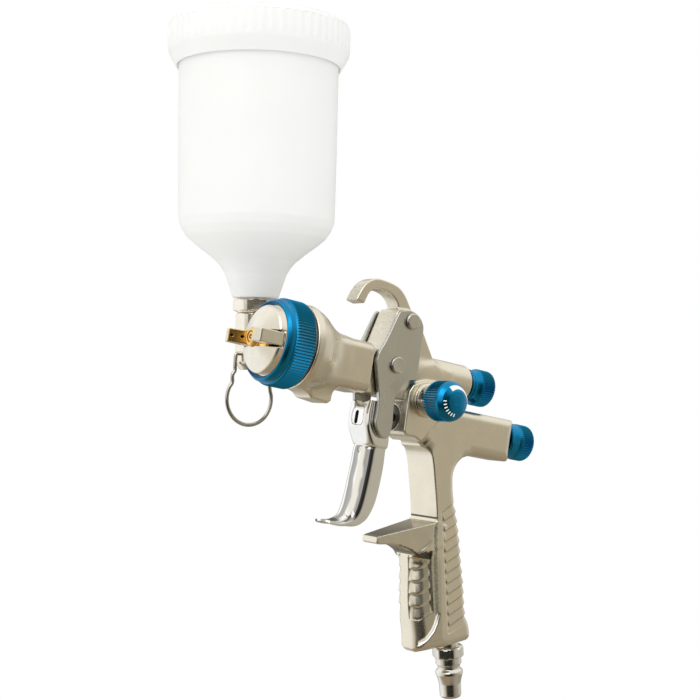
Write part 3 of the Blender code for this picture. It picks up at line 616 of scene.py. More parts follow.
def sweep_mesh(name, path, radius, sides, step=0.5):
    """A round wire along a smooth curve through the path."""
    pts = [np.array(p, float) for p in path]
    fine = []
    for i in range(len(pts) - 1):
        p0 = pts[i - 1] if i else pts[i]
        p3 = pts[i + 2] if i + 2 < len(pts) else pts[i + 1]
        fine += catmull_rom(p0, pts[i], pts[i + 1], p3, step)
    pts = [Vector(p) for p in fine + [pts[-1]]]
    bm = bmesh.new()
    rows = []
    side = None
    for i, p in enumerate(pts):
        along = (pts[min(i + 1, len(pts) - 1)] - pts[max(i - 1, 0)]).normalized()
        if side is None:
            side = frame_for(along)[0]
        side = (side - along * side.dot(along)).normalized()
        other = along.cross(side)
        rows.append([bm.verts.new((p + (side * math.cos(a) + other * math.sin(a)) * radius) * MM)
                     for a in (2 * math.pi * k / sides for k in range(sides))])
    bm.faces.new(rows[0])
    bm.faces.new(rows[-1][::-1])
    for p, q in zip(rows, rows[1:]):
        for i in range(sides):
            j = (i + 1) % sides
            bm.faces.new((p[i], q[i], q[j], p[j]))
    return mesh_from(name, bm, 50)


# ------------------------------------------------------------------ distance fields
F32 = np.float32


def poly_sdf(px, pz, outline):
    """Signed distance of points to a closed polygon, negative inside."""
    corners = np.array(outline, F32)
    nearest = np.full(px.shape, 1e9, F32)
    sign = np.ones(px.shape, F32)
    for i in range(len(corners)):
        a, b = corners[i], corners[i - 1]
        e = b - a
        if e @ e < 1e-12:
            continue
        wx, wz = px - a[0], pz - a[1]
        t = np.clip((wx * e[0] + wz * e[1]) / (e @ e), 0, 1)
        bx, bz = wx - e[0] * t, wz - e[1] * t
        nearest = np.minimum(nearest, bx * bx + bz * bz)
        above, below, left = pz >= a[1], pz < b[1], e[0] * wz > e[1] * wx
        crossed = (above & below & left) | (~above & ~below & ~left)
        sign = np.where(crossed, -sign, sign)
    return sign * np.sqrt(nearest)


def extrude(flat, across, radius):
    """Rounded extrusion: flat is the distance in the outline's plane, across that beyond it."""
    a, b = flat + radius, across + radius
    outside = np.sqrt(np.maximum(a, 0) ** 2 + np.maximum(b, 0) ** 2)
    return (np.minimum(np.maximum(a, b), 0) + outside - radius).astype(F32)


def union(a, b, blend=0.0):
    if blend <= 0:
        return np.minimum(a, b)
    h = np.maximum(blend - np.abs(a - b), 0) / blend
    return np.minimum(a, b) - h * h * blend * 0.25


def carve(a, b, blend=0.0):
    return -union(-a, b, blend)


def ease(value, low, high):
    t = np.clip((value - low) / (high - low), 0, 1)
    return t * t * (3 - 2 * t)


def line_distance(x, z, line):
    """Distance in the XZ plane to a polyline."""
    nearest = None
    for a, b in zip(line, line[1:]):
        ex, ez = b[0] - a[0], b[1] - a[1]
        t = np.clip(((x - a[0]) * ex + (z - a[1]) * ez) / (ex * ex + ez * ez), 0, 1)
        d = np.sqrt((x - a[0] - t * ex) ** 2 + (z - a[1] - t * ez) ** 2)
        nearest = d if nearest is None else np.minimum(nearest, d)
    return nearest


class Field:
    """A grid of points between two corners; side is the distance from the plane y = 0."""

    def __init__(self, low, high, pitch):
        self.low, self.pitch = np.array(low, float), pitch
        counts = [int(math.ceil((b - a) / pitch)) + 1 for a, b in zip(low, high)]
        self.x = (low[0] + pitch * np.arange(counts[0])).astype(F32)[:, None, None]
        self.y = (low[1] + pitch * np.arange(counts[1])).astype(F32)[None, :, None]
        self.z = (low[2] + pitch * np.arange(counts[2])).astype(F32)[None, None, :]
        self.side = np.abs(self.y)
        self.shape = tuple(counts)

    def flat(self, outline):
        """Distance to an (x, z) outline, as an array that broadcasts over the field."""
        x, z = np.broadcast_arrays(self.x[:, 0, :], self.z[0])
        return poly_sdf(x, z, outline)[:, None, :]

    def slab(self, outline, half, radius):
        return extrude(self.flat(outline), self.side - half, radius)

    def turned(self, profile, axis="x", centre=(0.0, 0.0)):
        """Distance to a turned solid about an axis parallel to X or Y.

        profile is closed, (station, radius).
        """
        if axis == "x":
            squeezed, along, p, q = 0, self.x, self.y - centre[0], self.z - centre[1]
        else:
            squeezed, along, p, q = 1, self.y, self.x - centre[0], self.z - centre[1]
        rho = np.sqrt(p * p + q * q)
        pitch = self.pitch / 2
        radii = np.arange(0, float(rho.max()) + 2 * pitch, pitch).astype(F32)
        stations, table_radii = np.broadcast_arrays(along.ravel()[:, None], radii[None])
        table = poly_sdf(stations, table_radii, profile).astype(F32)
        k = (rho / pitch).squeeze(squeezed)
        i = np.minimum(k.astype(np.int32), len(radii) - 2)
        f = (k - i).astype(F32)
        return np.moveaxis(table[:, i] * (1 - f) + table[:, i + 1] * f, 0, squeezed)


def sample(field, values, points):
    """Trilinear values of the field at the points."""
    g = (points - field.low) / field.pitch
    i = np.clip(np.floor(g).astype(int), 0, np.array(values.shape) - 2)
    f = np.clip(g - i, 0, 1)
    out = 0
    for corner in np.ndindex(2, 2, 2):
        wx, wy, wz = (f[:, k] if corner[k] else 1 - f[:, k] for k in range(3))
        x, y, z = (i[:, k] + corner[k] for k in range(3))
        out = out + wx * wy * wz * values[x, y, z]
    return out


def gradient(field, values, points, reach):
    g = np.empty_like(points)
    for axis in range(3):
        o = np.zeros(3)
        o[axis] = reach
        g[:, axis] = sample(field, values, points + o) - sample(field, values, points - o)
    return g / (2 * reach)


def surface(name, field, values, settle=2):
    """Surface nets over the field, then each vertex is settled onto the surface."""
    values = np.broadcast_to(values, field.shape).astype(F32)
    pitch = field.pitch
    inside = values < 0
    total = np.zeros(tuple(n - 1 for n in values.shape), np.int8)
    nx, ny, nz = total.shape
    corners = list(np.ndindex(2, 2, 2))
    for a, b, c in corners:
        total += inside[a:nx + a, b:ny + b, c:nz + c]
    active = (total > 0) & (total < 8)
    index = np.full(active.shape, -1, np.int32)
    cells = np.argwhere(active)
    index[active] = np.arange(len(cells), dtype=np.int32)
    # each vertex is the mean of the crossings on its cell's edges
    crossings = np.zeros((len(cells), 3))
    hits = np.zeros(len(cells))
    at = {c: values[cells[:, 0] + c[0], cells[:, 1] + c[1], cells[:, 2] + c[2]].astype(float)
          for c in corners}
    for p in corners:
        for axis in range(3):
            if p[axis]:
                continue
            q = tuple(v + (k == axis) for k, v in enumerate(p))
            fa, fb = at[p], at[q]
            cross = (fa < 0) != (fb < 0)
            t = np.where(cross, fa / np.where(fa - fb == 0, 1, fa - fb), 0)
            where = np.array(p, float)[None] + t[:, None] * (np.arange(3) == axis)
            crossings[cross] += where[cross]
            hits += cross
    verts = field.low + pitch * (cells + crossings / hits[:, None])
    faces = []
    for axis in range(3):
        b, c = (axis + 1) % 3, (axis + 2) % 3
        one = np.take(inside, np.arange(0, inside.shape[axis] - 1), axis)
        two = np.take(inside, np.arange(1, inside.shape[axis]), axis)
        change = np.argwhere(one != two)
        ok = (change[:, b] > 0) & (change[:, c] > 0)
        ok &= (change[:, b] < total.shape[b]) & (change[:, c] < total.shape[c])
        change = change[ok]
        first = one[change[:, 0], change[:, 1], change[:, 2]]
        quad = []
        for db, dc in ((-1, -1), (0, -1), (0, 0), (-1, 0)):
            p = change.copy()
            p[:, b] += db
            p[:, c] += dc
            quad.append(index[p[:, 0], p[:, 1], p[:, 2]])
        quad = np.stack(quad, 1)
        quad[~first] = quad[~first][:, ::-1]
        faces.append(quad)
    for _ in range(settle):
        g = gradient(field, values, verts, 0.5 * pitch)
        size = np.maximum((g * g).sum(1), 0.25)
        move = -(sample(field, values, verts) / size)[:, None] * g
        verts = verts + np.clip(move, -0.35 * pitch, 0.35 * pitch)
    mesh = mesh_of(name, verts, np.vstack(faces))
    mesh.shade_smooth()
    normals = gradient(field, values, verts, 0.7 * pitch)
    normals /= np.maximum(np.linalg.norm(normals, axis=1), 1e-9)[:, None]
    mesh.normals_split_custom_set_from_vertices(normals.astype(float).tolist())
    return mesh


# ------------------------------------------------------------------ gun casting
# Outlines are (x, z); turned profiles are (station, radius).
HEAD = [(5.2, -1), (5.2, 14.9), (5.9, 15.6), (13.7, 15.6), (13.7, 17.0), (14.0, 17.3),
        (16.9, 17.4), (18.4, 16.9), (20.6, 16.1), (22.5, 15.1), (24.4, 13.5), (26.0, 11.9),
        (27.4, 10.4), (29.0, 9.0), (30.5, 8.2), (33.0, 7.6), (33.0, -1)]
LUG = [(17.5, -8), (18.8, -15.5), (21.6, -19.6), (29.8, -20.5), (31.5, -19.2), (31.6, -8)]
INLET_BOSS = [(8.0, -1), (8.0, 6.6), (18.6, 6.6), (19.0, 6.2), (19.0, -1)]
RING_GROOVE = [(3, 15.7), (3, 30), (13.65, 30), (13.65, 15.7)]
WEB = [(40.0, -12.9), (76.0, -12.9), (87.0, -6.0), (85.5, -1.0), (72.7, 17.0), (66.9, 24.3),
       (64.7, 25.2), (58.6, 24.6), (57.5, 23.2), (52.3, 6.0), (40.0, 5.0)]
HOOK = [(37.6, 24.1), (41.9, 23.4), (42.7, 26.0), (43.9, 28.5), (46.4, 30.4), (51.8, 30.75),
        (55.7, 29.6), (58.3, 27.4), (59.6, 25.0), (59.9, 21.5), (66.9, 21.5), (66.9, 24.8),
        (64.8, 28.0), (61.7, 31.6), (58.0, 33.9), (53.0, 34.95), (46.6, 35.0), (42.6, 33.0),
        (39.9, 29.6)]
HOOK_SHARP = (0, 1, 9, 10)
VALVE_BLOCK = [(67.2, -10.6), (67.5, -8.6), (69.0, -6.0), (72.2, -4.4), (76.0, -3.2),
               (90.0, -2.6), (92.0, -16.0), (84.6, -19.2), (81.0, -24.1), (77.0, -28.9),
               (73.6, -27.4), (68.6, -27.3), (67.3, -26.0)]
RAMP = [(70.0, -8.0), (74.5, 3.0), (80.0, 5.0), (90.0, 3.0), (92.0, -6.0), (80.0, -8.0)]
FLUID_TUBE = [(70.0, -1), (70.0, 8.2), (101.6, 8.2), (102.7, 7.5), (102.7, -1)]
TUBE_END = 129.6
AIR_TUBE = [(80.0, -30.2), (80.0, -11.6), (TUBE_END, -11.6), (TUBE_END, -30.2)]
HANDLE = [(72.0, -18.0), (73.6, -27.2), (79.6, -29.3), (84.0, -32.6), (86.0, -36.6),
          (88.2, -44.0), (90.7, -52.9), (92.5, -61.2), (92.6, -68.0), (87.6, -73.4),
          (84.6, -76.0), (84.9, -78.6), (85.9, -82.9), (86.9, -89.5), (88.1, -96.1),
          (90.0, -102.7), (92.3, -109.4), (93.6, -115.4), (95.2, -116.7), (100.5, -115.3),
          (111.2, -112.1), (119.4, -109.5), (120.9, -107.6), (119.8, -103.6), (117.0, -98.0),
          (115.3, -92.0), (113.2, -84.0), (110.5, -75.6), (107.4, -65.1), (103.9, -55.5),
          (101.0, -49.0), (99.4, -42.2), (99.3, -38.8), (100.4, -35.6), (103.0, -32.6),
          (107.0, -30.0), (108.0, -24.0)]
HANDLE_SHARP = (0, 1, 2, 8, 18, 21, 36)
SPUR = [(66.6, -70.1), (92.9, -60.9), (98.0, -62.0), (98.0, -70.0), (92.0, -73.9), (88.8, -76.2),
        (87.2, -76.6), (84.6, -75.4), (81.4, -74.1), (77.5, -73.2), (72.6, -72.9), (66.4, -73.7),
        (65.1, -73.1), (65.1, -70.9)]
FRONT_PANEL = [(78.0, -74.0), (91.0, -72.0), (97.4, -99.0), (94.0, -106.0), (78.0, -106.0)]
REAR_PANEL = [(94.9, -56.6), (105.0, -46.0), (124.0, -98.0), (107.7, -107.6)]
RIB_TILT = math.radians(34)
# the rib panels' edges beside the stippled strip, the strip, and the arc at the foot of the grip
FRONT_EDGE = [(91.3, -74.0), (97.3, -98.6)]
REAR_EDGE = [(94.8, -57.0), (107.4, -106.6)]
STRIP = [(92.2, -63.5), (93.2, -70.0), (99.8, -98.8)]
ARC = [(100.4, -99.5), (100.2, -103.0), (99.2, -106.6), (97.2, -109.9), (94.4, -112.6),
       (91.6, -114.4)]
ARC_SIDE = 5.4          # the arc starts this far from the middle plane
# Bores about the spray axis
FLUID_BORE = [(0, -1), (0, 5.6), (15.5, 5.6), (15.5, 3.0), (36.2, 3.0), (36.2, 4.2), (46.4, 4.2),
              (46.4, 6.4), (54.0, 6.4), (54.0, 4.0), (65.0, 4.0), (65.0, 5.4), (110.0, 5.4),
              (110.0, -1)]
AIR_RING_BORE = [(0, 7.6), (0, 12.6), (10.5, 12.6), (10.5, 7.6)]
# Bores about other axes
AIR_BORE = [(66.0, -1), (66.0, 5.4), (140.0, 5.4), (140.0, -1)]
PATTERN_BORE = [(-20.0, -1), (-20.0, 5.0), (3.0, 5.0), (3.0, -1)]
PIVOT_BORE = [(-20.0, -1), (-20.0, 2.6), (20.0, 2.6), (20.0, -1)]
INLET_BORE = [(-2.0, -1), (-2.0, 2.4), (12.0, 2.4), (12.0, 4.2), (30.0, 4.2), (30.0, -1)]
YOKE_WINDOW = [(53.2, -5.6), (66.2, -5.6), (66.2, 5.6), (53.2, 5.6)]


def rounded_rect(p, q, half_p, half_q, radius):
    a, b = np.abs(p) - half_p + radius, np.abs(q) - half_q + radius
    outside = np.sqrt(np.maximum(a, 0) ** 2 + np.maximum(b, 0) ** 2)
    return np.minimum(np.maximum(a, b), 0) + outside - radius


def casting_head(f):
    section = rounded_rect(f.y, f.z + 2.85, half_p=10.0, half_q=10.55, radius=4.2)
    barrel = extrude(section, np.abs(f.x - 32.2) - 14.4, 0.8)
    body = union(f.turned(HEAD), barrel, blend=5.5)
    body = union(body, f.slab(LUG, 6.0, 0.9), blend=4.2)
    body = union(body, f.turned(INLET_BOSS, "y", (INLET_X, 0.0)), blend=2.4)
    # keep the groove behind the retaining ring clear of the blends
    return carve(body, f.turned(RING_GROOVE))


def casting_middle(f, body):
    """The web between the plates, the hook, and the valve block behind the plates."""
    body = union(body, f.slab(WEB, 6.75, 0.55), blend=0.9)
    hook = curve_outline(HOOK, step=0.8, sharp=HOOK_SHARP)
    body = union(body, f.slab(hook, 4.1, 0.55), blend=1.1)
    body = union(body, f.slab(VALVE_BLOCK, 10.0, 0.7), blend=0.5)
    body = union(body, f.slab(RAMP, 7.2, 1.0), blend=2.5)
    return union(body, f.turned(FLUID_TUBE), blend=2.2)


def grip_inset(f):
    """Distance back from the leaning front of the lower grip."""
    return f.x - (84.8 + (-f.z - 78.2) * 0.213)


def casting_grip(f, body):
    """The handle with the air tube behind it, and the front spur over the fingers."""
    flat = f.flat(curve_outline(HANDLE, step=1.2, sharp=HANDLE_SHARP))
    middle = 93.0 + (-f.z - 30.0) * 0.165
    front = ease(middle - f.x, -2.0, 2.0)
    upper = ease(f.z, -33.5, -28.5)
    low = ease(-f.z, 73.0, 80.0)
    grip_radius = 3.4 * (1 - front) + front * (0.5 + 4.3 * low)
    rounding = (grip_radius * (1 - upper) + 4.4 * upper).astype(F32)
    # below the spur the grip narrows towards a front about 14 mm wide
    nose = low * np.clip((13.0 - grip_inset(f)) / 11.0, 0, 1)
    stem = union(flat, f.flat(AIR_TUBE), blend=2.2)
    stem = extrude(stem, f.side - 9.2 + 2.0 * nose, rounding)
    stem = np.maximum(stem, f.x - TUBE_END)
    body = union(body, stem, blend=0.35)
    spur_half = 5.1 + 4.05 * np.clip((f.x - 65.0) / 26.0, 0, 1)
    return union(body, f.slab(SPUR, spur_half, 0.3), blend=1.2)


def saw_tooth(k, floor):
    """Falls slowly from 1 to the floor, then rises steeply, once per unit of k."""
    frac = k - np.floor(k)
    fall = 1 - (1 - floor) * frac / 0.86
    return np.where(frac < 0.86, fall, floor + (1 - floor) * (frac - 0.86) / 0.14)


def casting_ribs(f, body):
    """Shingled finger ribs in two panels on each side, and the grooves along their edges."""
    # the front ribs run level round the front corner and slope up across the side
    down_front = math.sin(RIB_TILT) * np.maximum(grip_inset(f), 2.2) - math.cos(RIB_TILT) * f.z
    k = (down_front - 86.7) / 4.3
    front = ease(-f.flat(FRONT_PANEL), 0.0, 0.4) * ease(k, -5.0, -4.9) * ease(-k, 0.0, 0.1)
    front = front * saw_tooth(k, floor=0.1) * 0.8
    down = np.array([math.sin(RIB_TILT), -math.cos(RIB_TILT)])
    down_rear = (f.x - 95.5) * down[0] + (f.z + 56.0) * down[1]
    rear = ease(-f.flat(REAR_PANEL), 0.0, 0.5) * saw_tooth(down_rear / 4.25, floor=0.0) * 0.75
    cutting = front * ease(f.side, 2.9, 3.1) + rear * ease(f.side, 2.0, 6.0)
    plain = body
    body = body + cutting.astype(F32)

    def groove(line, radius, half=0.0):
        away = np.maximum(line_distance(f.x, f.z, line) - half, 0)
        return np.maximum(np.sqrt(away ** 2 + plain ** 2) - radius, 1.5 - f.side)

    body = carve(body, groove(FRONT_EDGE, 0.45), blend=0.15)
    body = carve(body, groove(REAR_EDGE, 0.5), blend=0.15)
    arc = groove(ARC, 0.55, half=0.25)
    body = carve(body, np.maximum(arc, ARC_SIDE - f.side), blend=0.25)
    # upright groove where the front ribs meet the front of the grip
    edge = np.sqrt((f.side - 3.0) ** 2 + plain ** 2) - 0.42
    edge = np.maximum(np.maximum(edge, f.x - 93.0), np.abs(f.z + 90.2) - 13.0)
    return carve(body, edge, blend=0.15)


def casting_bores(f, body):
    for bore in (f.turned(FLUID_BORE), f.turned(AIR_RING_BORE),
                 f.turned(AIR_BORE, "x", (0.0, AIR_Z)), f.turned(PATTERN_BORE, "y", PATTERN),
                 f.turned(PIVOT_BORE, "y", PIVOT), f.turned(INLET_BORE, "y", (INLET_X, 0.0)),
                 f.slab(YOKE_WINDOW, 20.0, 0.2)):
        body = carve(body, bore)
    # socket for the hose plug, leaning back along its axis
    top = np.array(PLUG_TOP)
    axis = np.array(PLUG_END) - top
    axis = axis / np.linalg.norm(axis)
    along = (f.x - top[0]) * axis[0] + (f.z - top[2]) * axis[2]
    away = ((f.x - top[0] - along * axis[0]) ** 2 + (f.z - top[2] - along * axis[2]) ** 2
            + f.y ** 2)
    radius = np.sqrt(np.maximum(away, 0))
    return carve(body, np.maximum(radius - 5.0, -(along + 11.0)))


def casting_materials(mesh):
    """Index of each face's material, in the order given to gun_casting's add_piece."""
    centre = face_array(mesh, "center") / MM
    x, z, side = centre[:, 0], centre[:, 2], np.abs(centre[:, 1])
    up = face_array(mesh, "normal")[:, 2]
    index = np.zeros(len(centre), np.int32)
    index[(line_distance(x, z, STRIP) < 0.82) & (side > 8.2)] = 1
    spur = (x > 64.0) & (x < 92.4) & (z < -59.0) & (z > -80.0)
    # painted dark reflection on the spur's top towards its tip, painted shade under its root
    index[spur & (up > 0.75)] = 4
    index[spur & (up < -0.08) & (x > 76.0) & (z > -76.9)] = 5
    # painted highlight: the bright glowing arc swells towards its middle
    along = np.clip((-z - 100.0) / 14.0, 0, 1)
    arc_half = 0.25 + 0.6 * np.sin(np.pi * along ** 0.8)
    index[(line_distance(x, z, ARC) < arc_half) & (side > ARC_SIDE)] = 2
    # painted shade in the groove behind the retaining ring
    radius = np.hypot(centre[:, 1], z)
    index[(x > 5.2) & (x < 14.0) & (radius > 14.0) & (radius < 16.8) & (z > -16.9)] = 3
    return index


def gun_casting():
    f = Field((4.2, -18.4, -118.4), (131.2, 20.2, 36.4), pitch=0.42)
    body = casting_grip(f, casting_middle(f, casting_head(f)))
    body = casting_bores(f, casting_ribs(f, body))
    mesh = surface("gun_casting", f, body)
    # painted dark reflection on the spur's top, painted shade under its root
    spur_top = cast_with_painted_shade("cast_nickel_painted_reflection_spur_top", ((66, 0.20), (78, 0.42), (90, 0.72)))
    spur_root = cast_with_painted_shade("cast_nickel_painted_shade_spur_root", ((74, 0.60), (82, 0.30), (90, 0.16)))
    mats = ("cast", "stipple", "glint", "dark", spur_top, spur_root)
    add_piece("gun_casting", mesh, mats, "gun", "gun_body")
    paint_faces(mesh, casting_materials(mesh))


gun_casting()

# ------------------------------------------------------------------ air cap
CAP_DISC = [(-0.1, -1), (-0.1, 13.5), (0.2, 13.8), (2.3, 13.9), (2.3, 13.2), (3.3, 13.2),
            (3.3, 15.2), (4.7, 15.2), (4.7, -1)]
CAP_CONE = [(-6.0, -1), (-6.0, 3.6), (-2.3, 13.1), (-1.9, 13.6), (-1.4, 13.85), (1.6, 13.85),
            (1.6, -1)]
CAP_CENTRE = [(-3.4, -1), (-3.4, 4.4), (-1.6, 7.2), (0.0, 8.6), (0.0, -1)]
CAP_BORE = [(-20, -1), (-20, 3.95), (-2.6, 3.95), (-1.2, 9.0), (1.6, 12.2), (10, 12.2), (10, -1)]
CHANNEL_HALF = 3.35
HORN_HALF = 2.7
HORN_EDGE = 0.45            # rounding of the horns' edges
JETS = ((-10.3, 9.0), (-6.6, 7.2))      # holes in each horn, (x, |y|)


def jet_distance(x, side, z):
    """Distances along a jet's slanting axis and away from it."""
    along = x * 0.80 + side * 0.60
    away = (x - along * 0.80) ** 2 + (side - along * 0.60) ** 2 + z ** 2
    return along, np.sqrt(np.maximum(away, 0))


def cap_horns(f):
    """Horns whose inner faces slope away from the spray axis."""
    outer = 13.35 - 0.35 * ease(-f.x, 9.5, 12.5)
    inner = np.where(f.x < -1.5, 9.2 - (f.x + 12.0) * 0.43, 4.6)
    a = np.maximum(inner - f.side, f.side - outer) + HORN_EDGE
    b = np.abs(f.z) - HORN_HALF + HORN_EDGE
    # the tip slopes back towards its outer edge
    c = np.maximum((-f.x - 12.0 + (f.side - 9.6) * 0.34) * 0.947, f.x - 1.5) + HORN_EDGE
    outside = np.sqrt(np.maximum(a, 0) ** 2 + np.maximum(b, 0) ** 2 + np.maximum(c, 0) ** 2)
    return np.minimum(np.maximum(np.maximum(a, b), c), 0) + outside - HORN_EDGE


def air_cap():
    f = Field((-13.2, -15.8, -15.8), (5.4, 15.8, 15.8), pitch=0.17)
    # two half cones stand proud of the disc, above and below the horns' channel
    cone = extrude(f.turned(CAP_CONE), CHANNEL_HALF - np.abs(f.z), 0.35)
    channel = extrude(np.abs(f.z) - CHANNEL_HALF, f.x + 0.9, 0.2)
    channel = np.maximum(channel, 4.0 - f.side)
    cap = union(carve(f.turned(CAP_DISC), channel, blend=0.3), cone, blend=0.3)
    cap = union(cap, f.turned(CAP_CENTRE), blend=0.4)
    cap = union(cap, cap_horns(f), blend=0.5)
    cap = carve(cap, f.turned(CAP_BORE))
    for jet_x, jet_side in JETS:
        for side in (-1, 1):
            along, away = jet_distance(f.x - jet_x, side * f.y - jet_side, f.z)
            cap = carve(cap, np.maximum(away - 0.62, np.abs(along) - 2.6))
    mesh = surface("air_cap_body", f, cap)
    add_piece("air_cap_body", mesh, ("cap", "brass", "dark"), "air_cap", "air_cap")

    x, y, z = (face_array(mesh, "center") / MM).T
    outward = face_array(mesh, "normal")[:, 1] * np.sign(y)
    # brass on the horns' inner faces and on the middle of the channel; painted shade in the jets
    brass = (outward < -0.3) & (np.abs(z) < 2.75) & (x < -1.4) & (np.abs(y) < 12.0)
    brass |= (np.hypot(y, z) < 7.6) & (np.abs(z) < 3.3) & (x > -3.6)
    index = brass.astype(np.int32)
    for jet_x, jet_side in JETS:
        along, away = jet_distance(x - jet_x, np.abs(y) - jet_side, z)
        index[(away < 0.72) & (np.abs(along) < 3.0)] = 2
    paint_faces(mesh, index)


# Turned pieces are tables of (station, radius[, corner radius]) along their axis.
air_cap()
lathe("air_cap_boss",
      [(-7.5, 2.25), (-7.5, 3.1, 0.5), (-6.7, 3.95, 0.7), (-4.6, 4.3, 0.8), (-2.2, 6.4, 0.6),
       (-1.2, 6.4), (-1.2, 4.6), (-3.6, 2.9)],
      (0, 0, 0), ALONG_X, "brass", "air_cap", "air_cap_core", "brass",
      segments=72, closed=True, default=0.15)
lathe("fluid_tip",
      [(-7.3, 0.9), (-7.3, 2.05, 0.3), (-4.0, 2.3), (1.6, 4.4), (1.6, 6.2), (3.4, 6.2),
       (3.4, 7.0), (4.7, 7.0), (4.7, 5.3), (14.5, 5.3), (14.5, 3.1), (1.0, 2.3), (-3.5, 1.5),
       (-5.6, 0.9)],
      (0, 0, 0), ALONG_X, "brass", "gun", "fluid_nozzle", "brass",
      segments=64, closed=True, default=0.12)


# ------------------------------------------------------------------ retaining ring and knobs
def retaining_ring():
    radius = 17.86
    profile = [(0.0, 15.0, 0.25), (-0.35, 15.5, 0.25), (0.0, 16.0, 0.3), (1.1, 16.75, 0.35),
               (2.0, 16.9, 0.15), (2.25, 16.65, 0.15), (3.2, 16.65, 0.15), (3.45, 16.8, 0.15),
               (3.7, 17.15, 0.1), (4.35, radius, 0.08), (11.9, radius, 0.1), (12.2, 17.5, 0.15),
               (12.2, 15.95, 0.1), (2.4, 15.95, 0.1), (2.0, 14.25, 0.1), (1.2, 14.25, 0.2)]
    ring = lathe("knurled_ring", profile, (0, 0, 0), ALONG_X, BLUES, "ring", "retaining_ring",
                 "blue_anodised", segments=720, closed=True, longest=0.5, angle=40,
                 flute=dict(count=90, radius=radius, depth=0.75, first=3.45, last=12.8))
    # painted shade: the front lip takes the darker blue
    for face in ring.data.polygons:
        if math.hypot(face.center[1], face.center[2]) < 15.7 * MM:
            face.material_index = 1
    return ring


def rear_knob(name, node, z, shaft, start, neck, neck_radius, grip, end):
    """neck stations are measured from start; the fluted grip runs from grip to end."""
    radius = 8.12
    profile = [(shaft, 0), (shaft, 3.0, 0.2), (start, 3.0, 0.1), (start, 7.1, 0.3)]
    profile += [(start + s, r, corner) for s, r, corner in neck]
    profile += [(grip - 1.5, neck_radius, 0.3), (grip + 0.9, radius, 0.2),
                (end - 1.6, radius, 0.9), (end - 0.35, 6.6, 0.9), (end + 0.1, 0)]
    lathe(name, profile, (0, 0, z), ALONG_X, BLUES, node, node, "blue_anodised",
          segments=384, longest=0.35, angle=40, default=0.15,
          flute=dict(count=48, radius=radius, depth=0.55, first=grip - 0.1, last=end - 0.5))


ring = retaining_ring()
rear_knob("fluid_control_knob", "fluid_knob", z=0.0, shaft=95.1, start=103.6,
          neck=[(0.2, 7.3, 0.2), (0.9, 7.3, 0.1), (1.1, 6.8, 0.1), (1.5, 6.8, 0.1),
                (1.7, 7.2, 0.1), (2.3, 7.2, 0.1), (2.5, 6.7, 0.1), (3.0, 6.7, 0.1)],
          neck_radius=6.95, grip=108.9, end=117.2)
rear_knob("air_control_knob", "air_knob", z=AIR_Z, shaft=114.7, start=130.5,
          neck=[(0.5, 7.95, 0.3), (4.2, 7.95, 0.3), (4.6, 7.4, 0.2)],
          neck_radius=7.2, grip=136.6, end=144.5)

PATTERN_AT = (PATTERN[0], 0, PATTERN[1])
TOWARDS_NEAR = (0, -1, 0)
KNOB_RADIUS = 8.5
KNOB_END = [(25.2, KNOB_RADIUS, 0.3), (26.8, 8.0, 1.2), (28.6, 6.6, 2.2), (29.8, 4.2, 2.4),
            (30.3, 2.0, 2.0), (30.35, 0)]
knob = lathe("pattern_control_knob",
             [(1.4, 0), (1.4, 1.4), (3.2, 2.3), (18.0, 2.3), (18.0, 7.5, 0.3),
              (18.4, KNOB_RADIUS, 0.25)] + KNOB_END,
             PATTERN_AT, TOWARDS_NEAR, BLUES, "pattern_knob", "pattern_knob", "blue_anodised",
             segments=400, longest=0.35, angle=40, default=0.15,
             flute=dict(count=50, radius=KNOB_RADIUS, depth=0.6, first=18.6, last=25.6))
lathe("pattern_valve_collar",
      [(4.6, 2.6), (4.6, 4.7), (10.1, 4.7, 0.1), (10.1, 7.0, 0.3), (10.5, 7.25, 0.3),
       (11.6, 7.25, 0.35), (12.0, 6.5, 0.2), (16.4, 6.4, 0.3), (17.6, 5.8, 0.2), (17.6, 2.6)],
      PATTERN_AT, TOWARDS_NEAR, "nickel", "gun", "pattern_collar", "nickel",
      closed=True, default=0.15)


def dome(radius):
    """Station of the pattern knob's domed end at a radius."""
    table = fillet([(24.6, KNOB_RADIUS, 0.12)] + KNOB_END, False, 0.15)
    return float(np.interp(radius, table[::-1, 1], table[::-1, 0]))


def arc_mark(name, inner_start, inner_end, outer, start, end, lift=0.05):
    """An arc printed on the dome from angle start to end, with an inner radius that may taper."""
    count = 40
    verts, faces = [], []
    for i in range(count + 1):
        t = i / count
        a = math.radians(start + (end - start) * t)
        inner = inner_start + (inner_end - inner_start) * t
        for k in range(4):
            r = inner + (outer - inner) * k / 3
            verts.append((PATTERN[0] + r * math.cos(a), -dome(r) - lift,
                          PATTERN[1] + r * math.sin(a)))
    for i in range(count):
        for k in range(3):
            p = i * 4 + k
            faces.append((p, p + 4, p + 5, p + 1))
    return mesh_of(name, verts, faces)


wedge = arc_mark("adjust_wedge_mark", inner_start=4.7, inner_end=6.5, outer=6.7, start=126, end=-14)
add_piece("adjust_wedge_mark", smooth(wedge), "paint", "pattern_knob")
ticks = [arc_mark("tick", inner_start=5.1, inner_end=5.1, outer=6.3, start=a, end=a + 4.5)
         for a in range(184, 184 + 7 * 14, 14)]
add_piece("adjust_tick_marks", merge("adjust_tick_marks", ticks), "paint", "pattern_knob")

for blue in (ring, knob):
    # kept out of the mirror images on the casting next to them
    blue.visible_glossy = False

